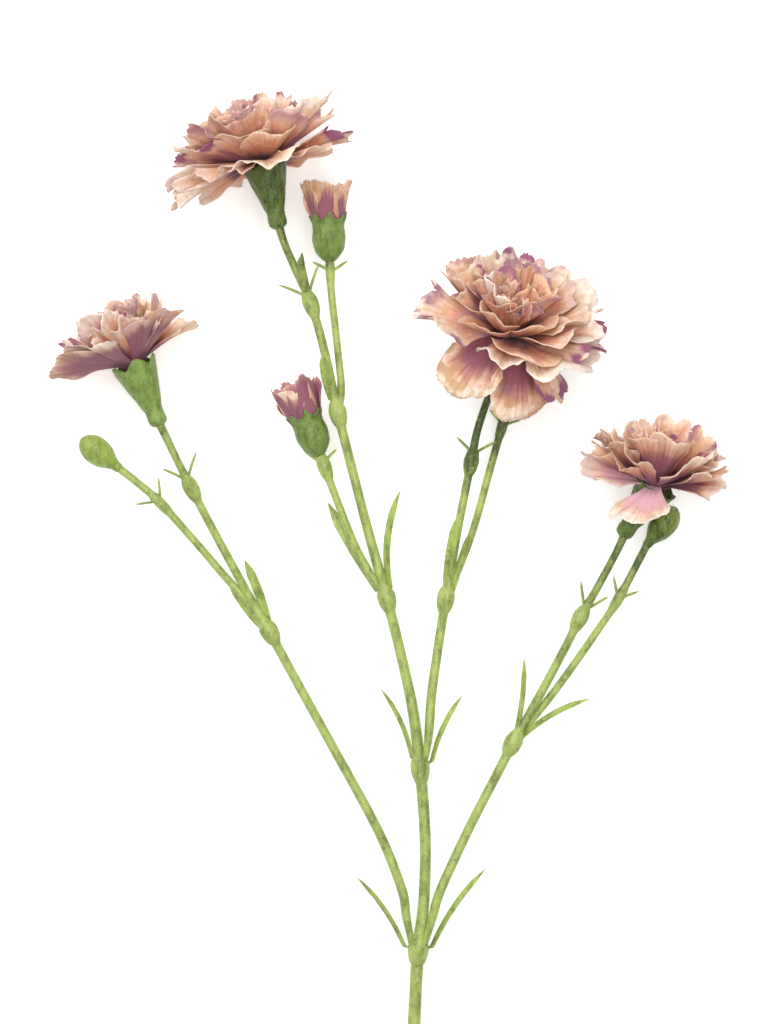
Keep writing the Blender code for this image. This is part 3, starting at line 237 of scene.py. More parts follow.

# Flowers: the axis that carries each one, where its petals face as (lean towards +X, climb), its cup, how
# dark its calyx is, the seed of its small differences, how far its calyx lobes rise and flare, how wide its
# petals' roots stand from its axis, its listed petals, and the rings that fill it. A ring is (count, first
# azimuth, spread) and a row without its azimuth.
# A flower's dark value is partly its calyx's own deeper green and partly painted shade from the bloom over it.
FLOWERS = {
    "bloom_top": {
        "axis": "main", "heading": (-13, -1), "cup": CUP_OPEN, "dark": 0.65, "seed": 3, "lobes": (1.2, 0.3),
        "throat": 1.2,
        "petals": [
            (3, -5, 33.0, 30, 98, 102, 120, 0, 4, 1.4, 0.02, 0, 0.7, 0.82, 0.3, 0.0),
            (-38, -5, 31.0, 28, 96, 100, 118, 0, -8, 1.4, 0.02, 0, 0.8, 0.41, 0.35, 0.2),
            (50, -5, 28.5, 28, 96, 97, 104, 0, 6, 1.1, 0.04, 0, 0.5, 0.28, 0.35, 0.0),
            (12, -5, 27.5, 28, 82, 70, 88, 0, 4, 1.0, 0.12, 0.2, 0.3, 0.28, 0.3, 0.0),
            (40, -4, 27.0, 24, 62, 56, 66, 0, -8, 1.2, 0.1, 0.2, 0.5, 0.41, 0.5, 0.6),
            (-20, -5, 28.0, 28, 74, 62, 76, 0, -4, 1.0, 0.12, 0.2, 0.3, 0.39, 0.3, 0.0),
            (-40, -4, 27.5, 28, 54, 42, 54, -6, -6, 1.4, 0.12, 0.2, 0.6, -0.15, 0.62, 0.5),
            (-4, -4, 25.5, 28, 44, 32, 48, 0, 6, 1.2, 0.14, 0.2, 0.6, 0.28, 0.35, 0.6),
            (25, -3, 25.0, 24, 32, 20, 30, 0, 0, 0.7, 0.08, 0.3, 0.3, 1, 0.2, 0.1),
            (-60, -3, 26.0, 24, 38, 28, 22, 0, 10, 1.5, 0.1, 0.2, 1.0, 0.33, 0.35, 0.4),
            (82, -5, 33.0, 20, 88, 84, 92, 0, -6, 1.3, 0.04, 0, 0.9, 0.41, 0.4, 1.6),
            (80, -4, 34.0, 11, 58, 56, 52, 0, 0, 0.9, 0.1, 0.1, 0.8, 1, 0.25, 0.2),
            (96, -4, 30.5, 12, 50, 50, 46, 0, 0, 0.9, 0.1, 0.1, 0.8, 0.82, 0.4, 0.3),
            (60, -3, 26.5, 12, 36, 32, 26, 0, 0, 1.0, 0.12, 0.2, 0.9, 0.5, 0.6, 0.8),
            (-92, -5, 36.0, 17, 92, 92, 98, 0, 6, 1.2, 0.04, 0, 0.9, 1, 0.35, 0.5),
            (-75, -5, 36.5, 11, 102, 112, 104, 0, -10, 1.2, 0.04, 0, 0.7, 1, 0.5, 0.1),
            (-84, -5, 33.5, 28, 76, 68, 64, 0, 8, 1.6, 0.08, 0, 1.0, 0.55, 0.64, 1.3),
            (-66, -4, 30.5, 26, 62, 52, 56, 0, -8, 1.6, 0.08, 0.1, 1.0, 0.39, 0.65, 0.8),
            (-108, -4, 32.0, 26, 66, 58, 60, 0, 8, 1.6, 0.08, 0, 1.0, 0.55, 0.4, 1.0),
            (-86, -5, 35.5, 11, 98, 100, 92, 0, 10, 1.0, 0.04, 0, 0.8, 1, 0.4, 0.1),
            (88, -4, 31.0, 10, 66, 66, 60, 0, 0, 0.8, 0.1, 0.1, 0.8, 0.39, 0.6, 1.0),
            (70, -3, 28.0, 12, 48, 46, 40, 0, 0, 1.0, 0.12, 0.2, 0.9, 0.92, 0.3, 0.3),
        ],
        "rings": [
            (5, 138, 26, -5, 32.5, 26, 90, 88, 96, 0, 0, 1.4, 0.04, 0, 0.9, 0.44, 0.35, 0.3),
            (5, 126, 30, -4, 30.0, 24, 62, 56, 60, 0, 0, 1.6, 0.1, 0.1, 0.9, 0.41, 0.3, 0.4),
            (8, 20, 45, -3, 26.5, 20, 36, 32, 36, 0, 0, 2.0, 0.12, 0.2, 1.0, 0.33, 0.35, 0.8),
            (7, 0, 51, -2, 24.0, 20, 20, 16, 26, 0, 0, 2.0, 0.14, 0.4, 1.0, 0.33, 0.3, 0.7),
            (4, 30, 90, -1, 18.5, 24, 6, 4, 12, 0, 0, 1.8, 0.16, 0.5, 1.0, 0.28, 0.3, 0.3),
        ],
    },
    "bloom_centre": {
        "axis": "centre", "heading": (14, 35), "cup": CUP_OPEN, "dark": 0.6, "seed": 12, "lobes": (1.4, 0.3),
        "throat": 1.2,
        "petals": [
            (-36, -5, 31.5, 34, 122, 142, 140, 0, 8, 0.7, 0.03, 0, 0.4, -0.7, 0.66, 0.0),
            (32, -5, 33.0, 32, 124, 144, 142, -4, -6, 0.7, 0.03, 0, 0.4, -0.6, 0.68, 0.0),
            (62, -5, 31.5, 22, 118, 134, 130, 0, -10, 0.7, 0.02, 0, 0.6, 0.4, 0.5, 1.4),
            (4, -4, 27.0, 32, 88, 74, 88, 0, 0, 1.6, 0.0, 0.1, 0.4, 0.9, 0.2, 0.0),
            (57, -5, 35.0, 32, 86, 80, 90, 0, 6, 1.4, 0.02, 0, 0.8, 1.0, 0.3, 0.2),
            (-80, -5, 35.0, 33, 84, 74, 84, 0, -8, 2.2, 0.04, 0, 1.0, 1.0, 0.5, 0.9),
            (-122, -5, 34.5, 32, 70, 56, 44, 0, 6, 2.0, 0.06, 0, 1.0, -0.5, 0.25, 0.5),
            (85, -5, 35.5, 30, 80, 71, 76, 0, 6, 1.5, 0.04, 0, 1.0, 0.95, 0.3, 1.2),
            (102, -5, 35.5, 32, 68, 57, 62, 0, 0, 1.8, 0.04, 0, 1.0, 1.0, 0.2, 0.2),
            (135, -5, 34.0, 32, 58, 46, 48, 0, 0, 1.8, 0.04, 0, 1.0, 1.0, 0.2, 0.2),
            (-167, -5, 34.5, 18, 60, 50, 40, 0, 0, 1.4, 0.05, 0, 1.0, 1.0, 0.3, 1.2),
            (158, -5, 32.0, 28, 58, 45, 44, 0, 8, 1.6, 0.06, 0, 1.0, 0.7, 0.3, 0.4),
            (20, -3, 26.5, 36, 84, 66, 90, 6, -8, 0.7, 0.06, 0.2, 0.1, 0.0, 0.15, 0.0),
            (-30, -3, 25.0, 26, 72, 54, 62, -8, 12, 0.8, 0.12, 0.2, 0.1, 0.0, 0.3, 0.0),
            (54, -3, 28.0, 28, 68, 55, 70, 0, 10, 0.9, 0.12, 0.2, 0.2, 0.3, 0.15, 0.0),
            (-20, -2, 22.0, 26, 56, 40, 34, -10, -10, 0.7, 0.14, 0.3, 0.1, 0.0, 0.15, 0.0),
            (32, -2, 22.0, 30, 56, 42, 30, 8, 8, 0.8, 0.14, 0.3, 0.1, 0.0, 0.15, 0.0),
            (-86, -3, 29.0, 26, 58, 48, 50, 0, 0, 1.8, 0.14, 0.2, 0.9, 0.25, 0.65, 0.2),
            (-70, -2, 26.0, 16, 32, 22, 30, 0, 0, 1.0, 0.14, 0.2, 0.6, 1.0, 0.5, 0.1),
            (-96, -2, 27.0, 14, 40, 30, 30, 6, 20, 1.0, 0.14, 0.2, 0.8, 0.1, 0.3, 1.2),
            (90, -3, 30.0, 30, 60, 50, 62, 0, 0, 1.4, 0.1, 0.1, 0.8, 0.6, 0.2, 0.3),
            (130, -3, 29.0, 28, 46, 38, 44, 0, 0, 1.6, 0.1, 0.1, 0.9, 0.6, 0.2, 0.4),
            (-130, -3, 29.0, 28, 52, 40, 40, 0, 0, 1.6, 0.12, 0.1, 0.9, 0.6, 0.3, 0.4),
            (-148, -4, 31.5, 26, 62, 52, 44, 0, 0, 1.8, 0.1, 0, 1.0, -0.6, 0.25, 0.6),
            (178, -3, 28.0, 24, 44, 36, 36, 0, 0, 1.6, 0.12, 0.1, 1.0, 0.7, 0.2, 0.8),
        ],
        "rings": [
            (5, 85, 50, -2, 24.5, 26, 34, 28, 32, 0, 0, 2.2, 0.14, 0.2, 1.0, 0.05, 0.2, 0.6),
            (6, 0, 60, -1, 19.5, 24, 22, 18, 22, 0, 0, 2.2, 0.16, 0.3, 1.0, 0.1, 0.15, 0.5),
        ],
    },
    "bloom_left": {
        "axis": "left", "heading": (-23, 2), "cup": CUP_OPEN, "dark": 0.15, "seed": 5, "lobes": (2.6, 0.5),
        "throat": 1.2,
        "petals": [
            (-78, -5, 31.0, 34, 72, 76, 84, 0, 14, 1.0, 0.1, 0.1, 0.5, -0.3, 0.86, 0.2),
            (-52, -5, 29.0, 30, 60, 58, 64, 0, 0, 1.2, 0.1, 0.1, 0.8, 0.9, 0.72, 0.4),
            (56, -5, 28.0, 36, 54, 60, 66, 2, -6, 1.0, 0.1, 0.2, 0.6, -0.3, 0.8, 0.4),
            (-16, -4, 28.0, 32, 34, 32, 44, -6, 0, 0.9, 0.12, 0.3, 0.6, 0.95, 0.8, 0.2),
            (20, -4, 27.0, 30, 26, 20, 34, 0, 0, 0.9, 0.12, 0.4, 0.7, -0.35, 0.6, 0.2),
            (92, -5, 26.5, 28, 54, 56, 58, 0, 6, 1.2, 0.1, 0.1, 1.0, 0.9, 0.4, 0.5),
        ],
        "rings": [
            (5, 122, 34, -5, 29.0, 30, 60, 62, 68, 0, 0, 1.3, 0.1, 0.1, 0.9, 0.6, 0.45, 0.5),
            (6, -80, 60, -4, 27.0, 26, 44, 42, 46, 0, 0, 1.4, 0.12, 0.2, 1.0, 0.6, 0.55, 0.8),
            (6, -50, 60, -3, 25.5, 24, 24, 22, 28, 0, 0, 1.4, 0.14, 0.3, 1.0, 0.6, 0.35, 0.6),
            (5, 0, 72, -3, 24.5, 22, 12, 8, 16, 0, 0, 1.2, 0.14, 0.4, 1.0, 0.7, 0.3, 0.4),
            (4, 40, 90, -2, 19.5, 24, 4, 2, 10, 0, 0, 1.6, 0.16, 0.5, 1.0, 0.3, 0.3, 0.3),
        ],
    },
    "bloom_right": {
        "axis": "right", "heading": (6, 24), "cup": CUP_OPEN, "dark": 0.7, "seed": 8, "lobes": (1.0, 0.2),
        "throat": 1.2,
        "petals": [
            (-14, -2, 30.0, 25, 92, 102, 96, -4, 10, 0.7, 0.03, 0, 0.7, 1.0, 0.66, 0.0),
            (-86, -5, 29.5, 32, 80, 76, 84, 0, -10, 1.0, 0.04, 0, 0.7, 1.0, 0.72, 0.4),
            (-68, -4, 29.0, 28, 62, 56, 60, 0, 8, 1.4, 0.06, 0.1, 0.8, -0.1, 0.6, 0.2),
            (-46, -4, 28.5, 28, 50, 42, 52, -10, -14, 1.3, 0.08, 0.1, 0.6, -0.2, 0.62, 0.1),
            (-22, -3, 27.5, 26, 34, 24, 30, -4, 10, 1.0, 0.1, 0.2, 0.5, 0.1, 0.66, 0.0),
            (6, -3, 28.5, 22, 32, 26, 36, 0, -12, 0.9, 0.12, 0.2, 0.5, 0.25, 0.66, 0.0),
            (34, -4, 27.0, 30, 50, 44, 54, 12, 12, 0.9, 0.06, 0.1, 0.5, 0.55, 0.64, 0.1),
            (62, -4, 26.5, 28, 66, 60, 56, 4, -10, 1.1, 0.06, 0.1, 0.8, -0.5, 0.62, 0.3),
            (84, -5, 25.0, 28, 84, 82, 90, 0, 6, 1.1, 0.04, 0, 0.9, 0.8, 0.66, 0.2),
            (76, -3, 25.0, 18, 54, 50, 44, 0, 10, 1.0, 0.08, 0.1, 0.9, 0.1, 0.6, 1.8),
            (-88, -3, 28.0, 26, 54, 48, 50, 0, 12, 1.5, 0.1, 0.1, 1.0, -0.6, 0.5, 0.6),
            (-50, -3, 25.5, 24, 26, 18, 22, 0, 0, 1.5, 0.14, 0.2, 0.9, 0.5, 0.4, 0.8),
            (48, -3, 25.5, 24, 28, 18, 18, 0, 0, 1.5, 0.14, 0.2, 0.9, 0.2, 0.4, 0.7),
        ],
        "rings": [
            (4, 128, 34, -5, 26.5, 30, 56, 52, 52, 0, 0, 1.0, 0.06, 0, 0.9, 0.5, 0.45, 0.5),
            (3, 140, 45, -4, 27.0, 32, 34, 30, 34, 0, 0, 1.2, 0.12, 0.1, 1.0, 0.35, 0.4, 0.8),
            (3, 40, 120, -2, 22.5, 28, 12, 8, 20, 0, 0, 1.8, 0.2, 0.5, 1.0, 0.1, 0.45, 1.0),
        ],
    },
    "opening_bud_high": {
        "axis": "high_twig", "heading": (-2, 2), "cup": CUP_BUD, "dark": 0.3, "seed": 21,
        "lobes": (2.4, 0.7), "throat": 3.0,
        "petals": [
            (8, -9, 21.0, 26, 10, 8, 20, 0, 0, 0.3, 0.02, 1, 0.5, 0.0, 0.84, 0.0),
            (-76, -9, 22.5, 22, 16, 14, 30, 0, 0, 0.4, 0.02, 0.9, 0.8, -0.05, 0.74, 0.2),
        ],
        "rings": [
            (3, 90, 80, -9, 22.0, 26, 10, 10, 18, 0, 0, 0.4, 0.02, 1, 1.0, -0.05, 0.72, 0.2),
            (5, 30, 72, -8, 20.5, 24, 4, 2, 10, 0, 0, 0.6, 0.04, 0.9, 1.0, -0.05, 0.6, 0.2),
            (3, 0, 120, -8, 19.5, 20, 0, 0, 4, 0, 0, 0.6, 0.06, 0.7, 1.0, 0.05, 0.6, 0.2),
        ],
    },
    "opening_bud_low": {
        "axis": "low_twig", "heading": (-24, 4), "cup": CUP_BUD, "dark": 0.35, "seed": 22,
        "lobes": (2.4, 0.7), "throat": 3.0,
        "petals": [
            (28, -9, 22.0, 26, 10, 8, 14, 0, 0, 0.3, 0.02, 1, 0.5, 0.1, 1.0, 0.2),
            (-44, -9, 21.0, 24, 12, 12, 28, 0, 0, 0.4, 0.02, 0.9, 0.5, 0.4, 0.74, 0.0),
        ],
        "rings": [
            (3, 110, 80, -9, 21.5, 26, 10, 8, 14, 0, 0, 0.4, 0.02, 1, 0.8, 0.05, 0.84, 0.4),
            (5, 10, 72, -8, 20.0, 24, 4, 2, 10, 0, 0, 0.6, 0.04, 0.9, 0.9, 0.15, 0.66, 0.3),
        ],
    },
}


# ---- Colours and nodes


def linear(code):
    """Turns an sRGB hex colour into linear red, green and blue."""
    shares = [int(code[i : i + 2], 16) / 255 for i in (1, 3, 5)]
    return tuple(s / 12.92 if s <= 0.04045 else ((s + 0.055) / 1.055) ** 2.4 for s in shares)


def first_output(node):
    return next(socket for socket in node.outputs if socket.enabled)


def add_node(material, kind, settings=None, stops=(), **inputs):
    """Adds a shader node with its settings, a colour ramp's (position, colour) stops, and its inputs.

    An input is called by its socket's name, or by i and the socket's number. It is a value, a node whose
    first output it takes, or a (node, output's name) pair.
    """
    tree = material.node_tree
    node = tree.nodes.new(kind)
    for name, value in (settings or {}).items():
        setattr(node, name, value)
    for _ in stops[2:]:
        node.color_ramp.elements.new(0.5)
    for n, (position, colour) in enumerate(stops):
        node.color_ramp.elements[n].position = position
        node.color_ramp.elements[n].color = colour
    for name, value in inputs.items():
        numbered = name[0] == "i" and name[1:].isdigit()
        socket = node.inputs[int(name[1:]) if numbered else name.replace("_", " ")]
        if isinstance(value, bpy.types.Node):
            tree.links.new(first_output(value), socket)
        elif isinstance(value, tuple) and isinstance(value[0], bpy.types.Node):
            tree.links.new(value[0].outputs[value[1]], socket)
        else:
            socket.default_value = value
    return node


def add_cloud(material, source, cells, detail):
    """An uneven pattern of this many cells a metre, or across the UV map, along each axis."""
    place = add_node(material, "ShaderNodeMapping", Vector=source, Scale=cells)
    return add_node(material, "ShaderNodeTexNoise", Vector=place, Scale=1.0, Detail=detail)


def add_rise(material, where, start, full, share):
    """How much of a coat lies where a pattern has a value: none at start, and this share from full on."""
    limits = {"From_Min": start, "From_Max": full, "To_Max": share}
    return add_node(material, "ShaderNodeMapRange", RISE, Value=where, **limits)


def add_coat(material, body, colour, where, start, full, share, blend="MIX"):
    """Sprays a colour over the body: none where a pattern is at start, and this share where it is full."""
    cover = add_rise(material, where, start, full, share)
    settings = {"data_type": "RGBA", "blend_type": blend}
    return add_node(material, "ShaderNodeMix", settings, i0=cover, i6=body, i7=colour)


def new_material(name, **sockets):
    """A material with a Principled shader and these constant socket values."""
    material = bpy.data.materials.new(name)
    material.use_nodes = True
    shader = material.node_tree.nodes["Principled BSDF"]
    for socket, value in sockets.items():
        shader.inputs[socket.replace("_", " ")].default_value = value
    return material, shader


def dress(material, shader, colour, relief, strength):
    """Gives the shader its colour, and a relief 0.4 mm deep from a pattern."""
    bump = add_node(material, "ShaderNodeBump", Strength=strength, Distance=0.0004, Height=relief)
    material.node_tree.links.new(first_output(colour), shader.inputs["Base Color"])
    material.node_tree.links.new(first_output(bump), shader.inputs["Normal"])


# ---- Shapes


def between(a, b, c, d, t):
    """The Catmull-Rom point from b to c at share t."""
    return 0.5 * (2 * b + (c - a) * t + (2 * a - 5 * b + 4 * c - d) * t**2 + (3 * b - a - 3 * c + d) * t**3)


def smooth_line(knots, step):
    """Points along knots, about a step apart, each with its place in the list of knots."""
    knots = [Vector(k) for k in knots]
    ends = [knots[0] * 2 - knots[1], *knots, knots[-1] * 2 - knots[-2]]
    points = []
    for i in range(len(knots) - 1):
        cuts = max(1, round((knots[i + 1] - knots[i]).length / step))
        points += [(i + n / cuts, between(*ends[i : i + 4], n / cuts)) for n in range(cuts)]
    return [*points, (len(knots) - 1, knots[-1])]


def direction(lean, climb):
    """A unit vector leaning from +Y towards +X, and climbing from the table."""
    a, c = math.radians(lean), math.radians(climb)
    return Vector((math.sin(a) * math.cos(c), math.cos(a) * math.cos(c), math.sin(c)))


def turned_to(axis):
    """A turn that points Z along an axis, and Y away from the table."""
    up = (Vector((0, 0, 1)) - axis * axis.z).normalized()
    return Matrix((up.cross(axis), up, axis)).transposed().to_4x4()


def seat_matrix(axis_name):
    """The frame of what stands on an axis's end: Z along it, Y away from the table. In millimetres."""
    axis = direction(*HEADINGS[axis_name])
    return Matrix.Translation(Vector(AXES[axis_name]["knots"][-1][:3]) + axis * SEAT_GAP) @ turned_to(axis)


def corolla_matrix(flower):
    """The frame of a flower's petals: its origin is the middle of the calyx's rim."""
    rim = seat_matrix(flower["axis"]) @ Vector((0.0, 0.0, flower["cup"][-1][1]))
    return Matrix.Translation(rim) @ turned_to(direction(*flower["heading"]))


def arc(start, end, length, s):
    """How far along and aside a curve has gone after s, as it turns from start to end over its length."""
    turn = (end - start) / length
    if abs(turn) < 1e-6:
        return s * math.cos(start), s * math.sin(start)
    here = start + turn * s
    return (math.sin(here) - math.sin(start)) / turn, (math.cos(start) - math.cos(here)) / turn


def ease(low, high, x):
    """A smooth rise from 0 at low to 1 at high."""
    t = max(0.0, min(1.0, (x - low) / (high - low)))
    return t * t * (3 - 2 * t)


def new_shape():
    """A bmesh with a UV map, and with a petal's colouring, tone, and a green's darkness, depth, at each point.
    The darkness holds painted shade on the stalks and calyxes under the blooms.
    """
    bm = bmesh.new()
    bm.loops.layers.uv.new("UVMap")
    bm.verts.layers.float_color.new("tone")
    bm.verts.layers.float.new("depth")
    return bm


def add_sheet(bm, columns, rows, place, closed=False, tone=(0, 0, 0, 1), depth=0.0):
    """A grid whose points place(across, along) puts in space. Across runs from -1 to 1, along from 0 to 1.

    A closed grid is a tube.
    """
    made = bmesh.ops.create_grid(bm, x_segments=columns, y_segments=rows, size=1.0, calc_uvs=True)["verts"]
    tones = bm.verts.layers.float_color["tone"]
    depths = bm.verts.layers.float["depth"]
    for vert in made:
        along = (vert.co.y + 1) / 2
        vert[tones] = tone
        vert[depths] = depth(along) if callable(depth) else depth
        vert.co = place(vert.co.x, along)
    if closed:
        bmesh.ops.remove_doubles(bm, verts=made, dist=0.0005)
    return [v for v in made if v.is_valid]


def close_ends(bm, made):
    """Fills a tube's open ends."""
    rim = dict.fromkeys(e for v in made for e in v.link_edges if e.is_boundary)
    bmesh.ops.holes_fill(bm, edges=list(rim), sides=0)


def add_tube(bm, rings, depth):
    """A closed round tube along (point, radius) rings."""
    points = [p for p, _ in rings]

    def place(across, along):
        n = round(along * (len(rings) - 1))
        tangent = (points[min(n + 1, len(points) - 1)] - points[max(n - 1, 0)]).normalized()
        side = tangent.cross(Vector((0, 0, 1))).normalized()
        up = side.cross(tangent)
        angle = across * math.pi
        radius = rings[n][1]
        return points[n] + side * (math.sin(angle) * radius) + up * (math.cos(angle) * radius)

    close_ends(bm, add_sheet(bm, STEM_SIDES, len(rings) - 1, place, closed=True, depth=depth))


def make_piece(name, bm, material, replaced, wall=0.0, wall_offset=0.0):
    """Turns a bmesh in millimetres into a piece, in place of a node of the frame. A wall is in metres."""
    bmesh.ops.transform(bm, matrix=Matrix.Scale(MM, 4) @ Matrix.Translation(-SPRAY_MIDDLE), verts=bm.verts)
    if not wall:
        bmesh.ops.recalc_face_normals(bm, faces=bm.faces)
    mesh = bpy.data.meshes.new(name)
    bm.to_mesh(mesh)
    bm.free()
    mesh.shade_smooth()
    mesh.materials.append(material)
    piece = bpy.data.objects.new(name, mesh)
    bpy.context.scene.collection.objects.link(piece)
    if wall:
        modifier = piece.modifiers.new("wall", "SOLIDIFY")
        modifier.thickness = wall
        modifier.offset = wall_offset
    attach(piece, "root")
    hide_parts(replaced)


# ---- Stems and leaves


def stem_radius(axis, at, point):
    """The radius at a point of an axis. Each node swells like a bead, with a seam over its middle."""
    radius = point[3]
    for n, bead in axis["nodes"].items():
        offset = (Vector(point[:3]) - Vector(axis["knots"][n][:3])).length
        above = at > n
        reach = BULGE_ABOVE if above else BULGE_BELOW
        if offset < reach:
            radius = max(radius, point[3] + (bead - point[3]) * (1 - (offset / reach) ** 2) ** 0.8)
        if above and abs(offset - SEAM_ABOVE) < SEAM_HALF:
            radius -= SEAM_DEPTH * (1 - abs(offset - SEAM_ABOVE) / SEAM_HALF)
    return radius


def nearest_on(axis, foot):
    """The centreline's point nearest to a foot (x, y)."""
    points = [Vector(p[:3]) for _, p in smooth_line(axis["knots"], 4.0)]
    return min(points, key=lambda p: (p.xy - Vector(foot)).length)


def add_leaf(bm, leaf):
    """A narrow keeled blade with rounded edges, from the middle of its node to a fine tip."""
    axis, foot, start, end, length, width, face, climb = leaf
    middle = nearest_on(AXES[axis], foot)
    root = Vector((*foot, middle.z))
    turned = math.radians(face)

    def place(across, along):
        share = max(0.0, (along - LEAF_FOOT) / (1 - LEAF_FOOT))
        ahead, aside = arc(math.radians(start), math.radians(end), length, share * length)
        heading = math.radians(start + (end - start) * share)
        side = Vector((math.cos(heading), -math.sin(heading), 0.0))
        half = 0.5 * width * leaf_outline(share)
        blade = side * math.sin(turned) + Vector((0.0, 0.0, math.cos(turned)))
        keel = Vector((-side.x * math.cos(turned), -side.y * math.cos(turned), math.sin(turned)))
        spot = root + Vector((aside, ahead, math.tan(math.radians(climb)) * length * share))
        if along < LEAF_FOOT:
            spot = middle.lerp(root, along / LEAF_FOOT)
        angle = across * math.pi
        thick = 0.42 * (1 - 0.55 * share)
        reach = math.sin(angle)
        return spot + blade * half * reach + keel * (thick * math.cos(angle) - 0.4 * half * (1 - abs(reach)))

    rows = 26 if length > 10 else 14
    close_ends(bm, add_sheet(bm, 12, rows, place, closed=True, depth=lambda s: 0.04 + 0.2 * (1 - s)))


def leaf_outline(share):
    """A leaf's half width along it, as a share of its widest."""
    if share < 0.72:
        return 0.62 + 0.5 * share - 0.6 * share**3
    return 0.756 * (1 - ((share - 0.72) / 0.28) ** 1.6) + 0.05


def stem_darkness_and_shade(axis_name, along):
    """How dark the green is: a little all over, and painted shade where the stalks run in under some of the
    blooms and buds.
    """
    start, end, depth = STALK_PAINTED_SHADES.get(axis_name, (0.9, 1.0, 0.0))
    return 0.1 + depth * ease(start, end, along)


def build_stem(name, axes, material):
    """A stem with its twigs and leaves."""
    bm = new_shape()
    for axis_name in axes:
        axis = AXES[axis_name]
        line = smooth_line(axis["knots"], RING_STEP)
        rings = [(Vector(p[:3]), stem_radius(axis, at, p)) for at, p in line]
        # Each ring's darkness carries the painted shade under the blooms and buds.
        add_tube(bm, rings, lambda s, a=axis_name: stem_darkness_and_shade(a, s))
    for leaf in LEAVES:
        if leaf[0] in axes:
            add_leaf(bm, leaf)
    if name == "main_stem":
        add_sleeve(bm)
    make_piece(name + "_moulded", bm, material, name)


def add_sleeve(bm):
    """The empty sleeve: a short open tube whose lip is thin."""
    foot, top, radius = Vector(SLEEVE["foot"]), Vector(SLEEVE["top"]), SLEEVE["radius"]
    axis = (top - foot).normalized()
    side = axis.cross(Vector((0, 0, 1))).normalized()
    up = side.cross(axis)
    stops = [(0, 0.9), (0.25, 1.1), (0.6, 1.0), (0.92, 1.05)]
    stops += [(1.0, 1.0), (1.0, 0.72), (0.9, 0.66), (0.45, 0.6)]

    def place(across, along):
        share, size = stops[round(along * (len(stops) - 1))]
        angle = across * math.pi
        slant = 0.12 * share * math.sin(angle)
        spoke = side * math.sin(angle) + up * math.cos(angle)
        return foot.lerp(top, share + slant) + spoke * radius * size

    close_ends(bm, add_sheet(bm, STEM_SIDES, len(stops) - 1, place, closed=True, depth=0.35))


# ---- Calyxes and buds


def turned_point(matrix, radius, height, angle):
    """A point round the matrix's Z, and this high along it."""
    return matrix @ Vector((radius * math.sin(angle), radius * math.cos(angle), height))


def profile_at(profile, along):
    """The (radius, height) of a smooth line through a profile's points."""
    ends = [Vector(p) for p in profile]
    ends = [ends[0] * 2 - ends[1], *ends, ends[-1] * 2 - ends[-2]]
    spot = along * (len(profile) - 1)
    i = min(int(spot), len(profile) - 2)
    return between(*ends[i : i + 4], spot - i)


def build_calyx(name, flower, material, wall):
    """A ribbed cup on a short collar. A bloom's has five round lobes, and a bud's seven pointed ones."""
    matrix = seat_matrix(flower["axis"])
    outside = flower["cup"]
    rise, flare = flower["lobes"]
    count = 7 if outside is CUP_BUD else 5

    def place(across, along):
        angle = across * math.pi
        radius, height = profile_at(outside, along)
        if outside is CUP_BUD:
            peak = (1 - abs(math.sin(angle * count / 2 + 0.4))) * (1 + 0.3 * math.sin(3 * angle + 1))
        else:
            peak = abs(math.cos(angle * count / 2 + 0.4)) ** 1.5
        rim = ease(0.78, 1.0, along)
        height += rise * (peak - 0.2) * rim
        radius += flare * peak * rim**2
        radius *= 1 + 0.012 * math.cos(angle * 15) * ease(0.2, 0.5, along)
        radius += 0.14 * math.sin(angle * 3 + along * 9) * math.sin(along * 17 + 2 * math.sin(angle))
        radius += 0.06 * math.sin(angle * 7 + along * 23) * math.sin(along * 41 + 3 * math.sin(2 * angle))
        return turned_point(matrix, radius, height, angle)

    bm = new_shape()
    # The calyx's darkness, partly painted shade from the bloom over it, deepens towards the rim.
    add_sheet(bm, 80, 30, place, closed=True, depth=lambda s: flower["dark"] * (0.7 + 0.3 * s))
    bmesh.ops.recalc_face_normals(bm, faces=bm.faces)
    make_piece(name + "_calyx_moulded", bm, material, name + "_calyx", wall, wall_offset=-1.0)


def build_closed_bud(name, bud, material):
    """An egg-shaped bud with faint ribs, whose five tips close at its point."""
    axis, length, radius, dark = bud
    matrix = seat_matrix(axis)
    outline = [(1.15, -1.2), (1.5, -0.2), (1.7, 1.2), (2.4, 2.6), (0.86 * radius, 0.34 * length)]
    outline += [(radius, 0.56 * length), (0.93 * radius, 0.74 * length), (0.62 * radius, 0.9 * length)]
    outline += [(0.22 * radius, 0.985 * length), (0.02, length)]

    def place(across, along):
        angle = across * math.pi
        size, height = profile_at(outline, along)
        groove = 0.045 * abs(math.sin(angle * 2.5)) ** 0.5 * ease(0.55, 1.0, along)
        size *= 1 + 0.012 * math.cos(angle * 10) * ease(0.2, 0.5, along) + groove
        return turned_point(matrix, max(size, 0.01), height, angle)

    bm = new_shape()
    close_ends(bm, add_sheet(bm, 60, 44, place, closed=True, depth=lambda s: dark + 0.15 * (1 - s)))
    make_piece(name + "_moulded", bm, material, name)


# ---- Petals


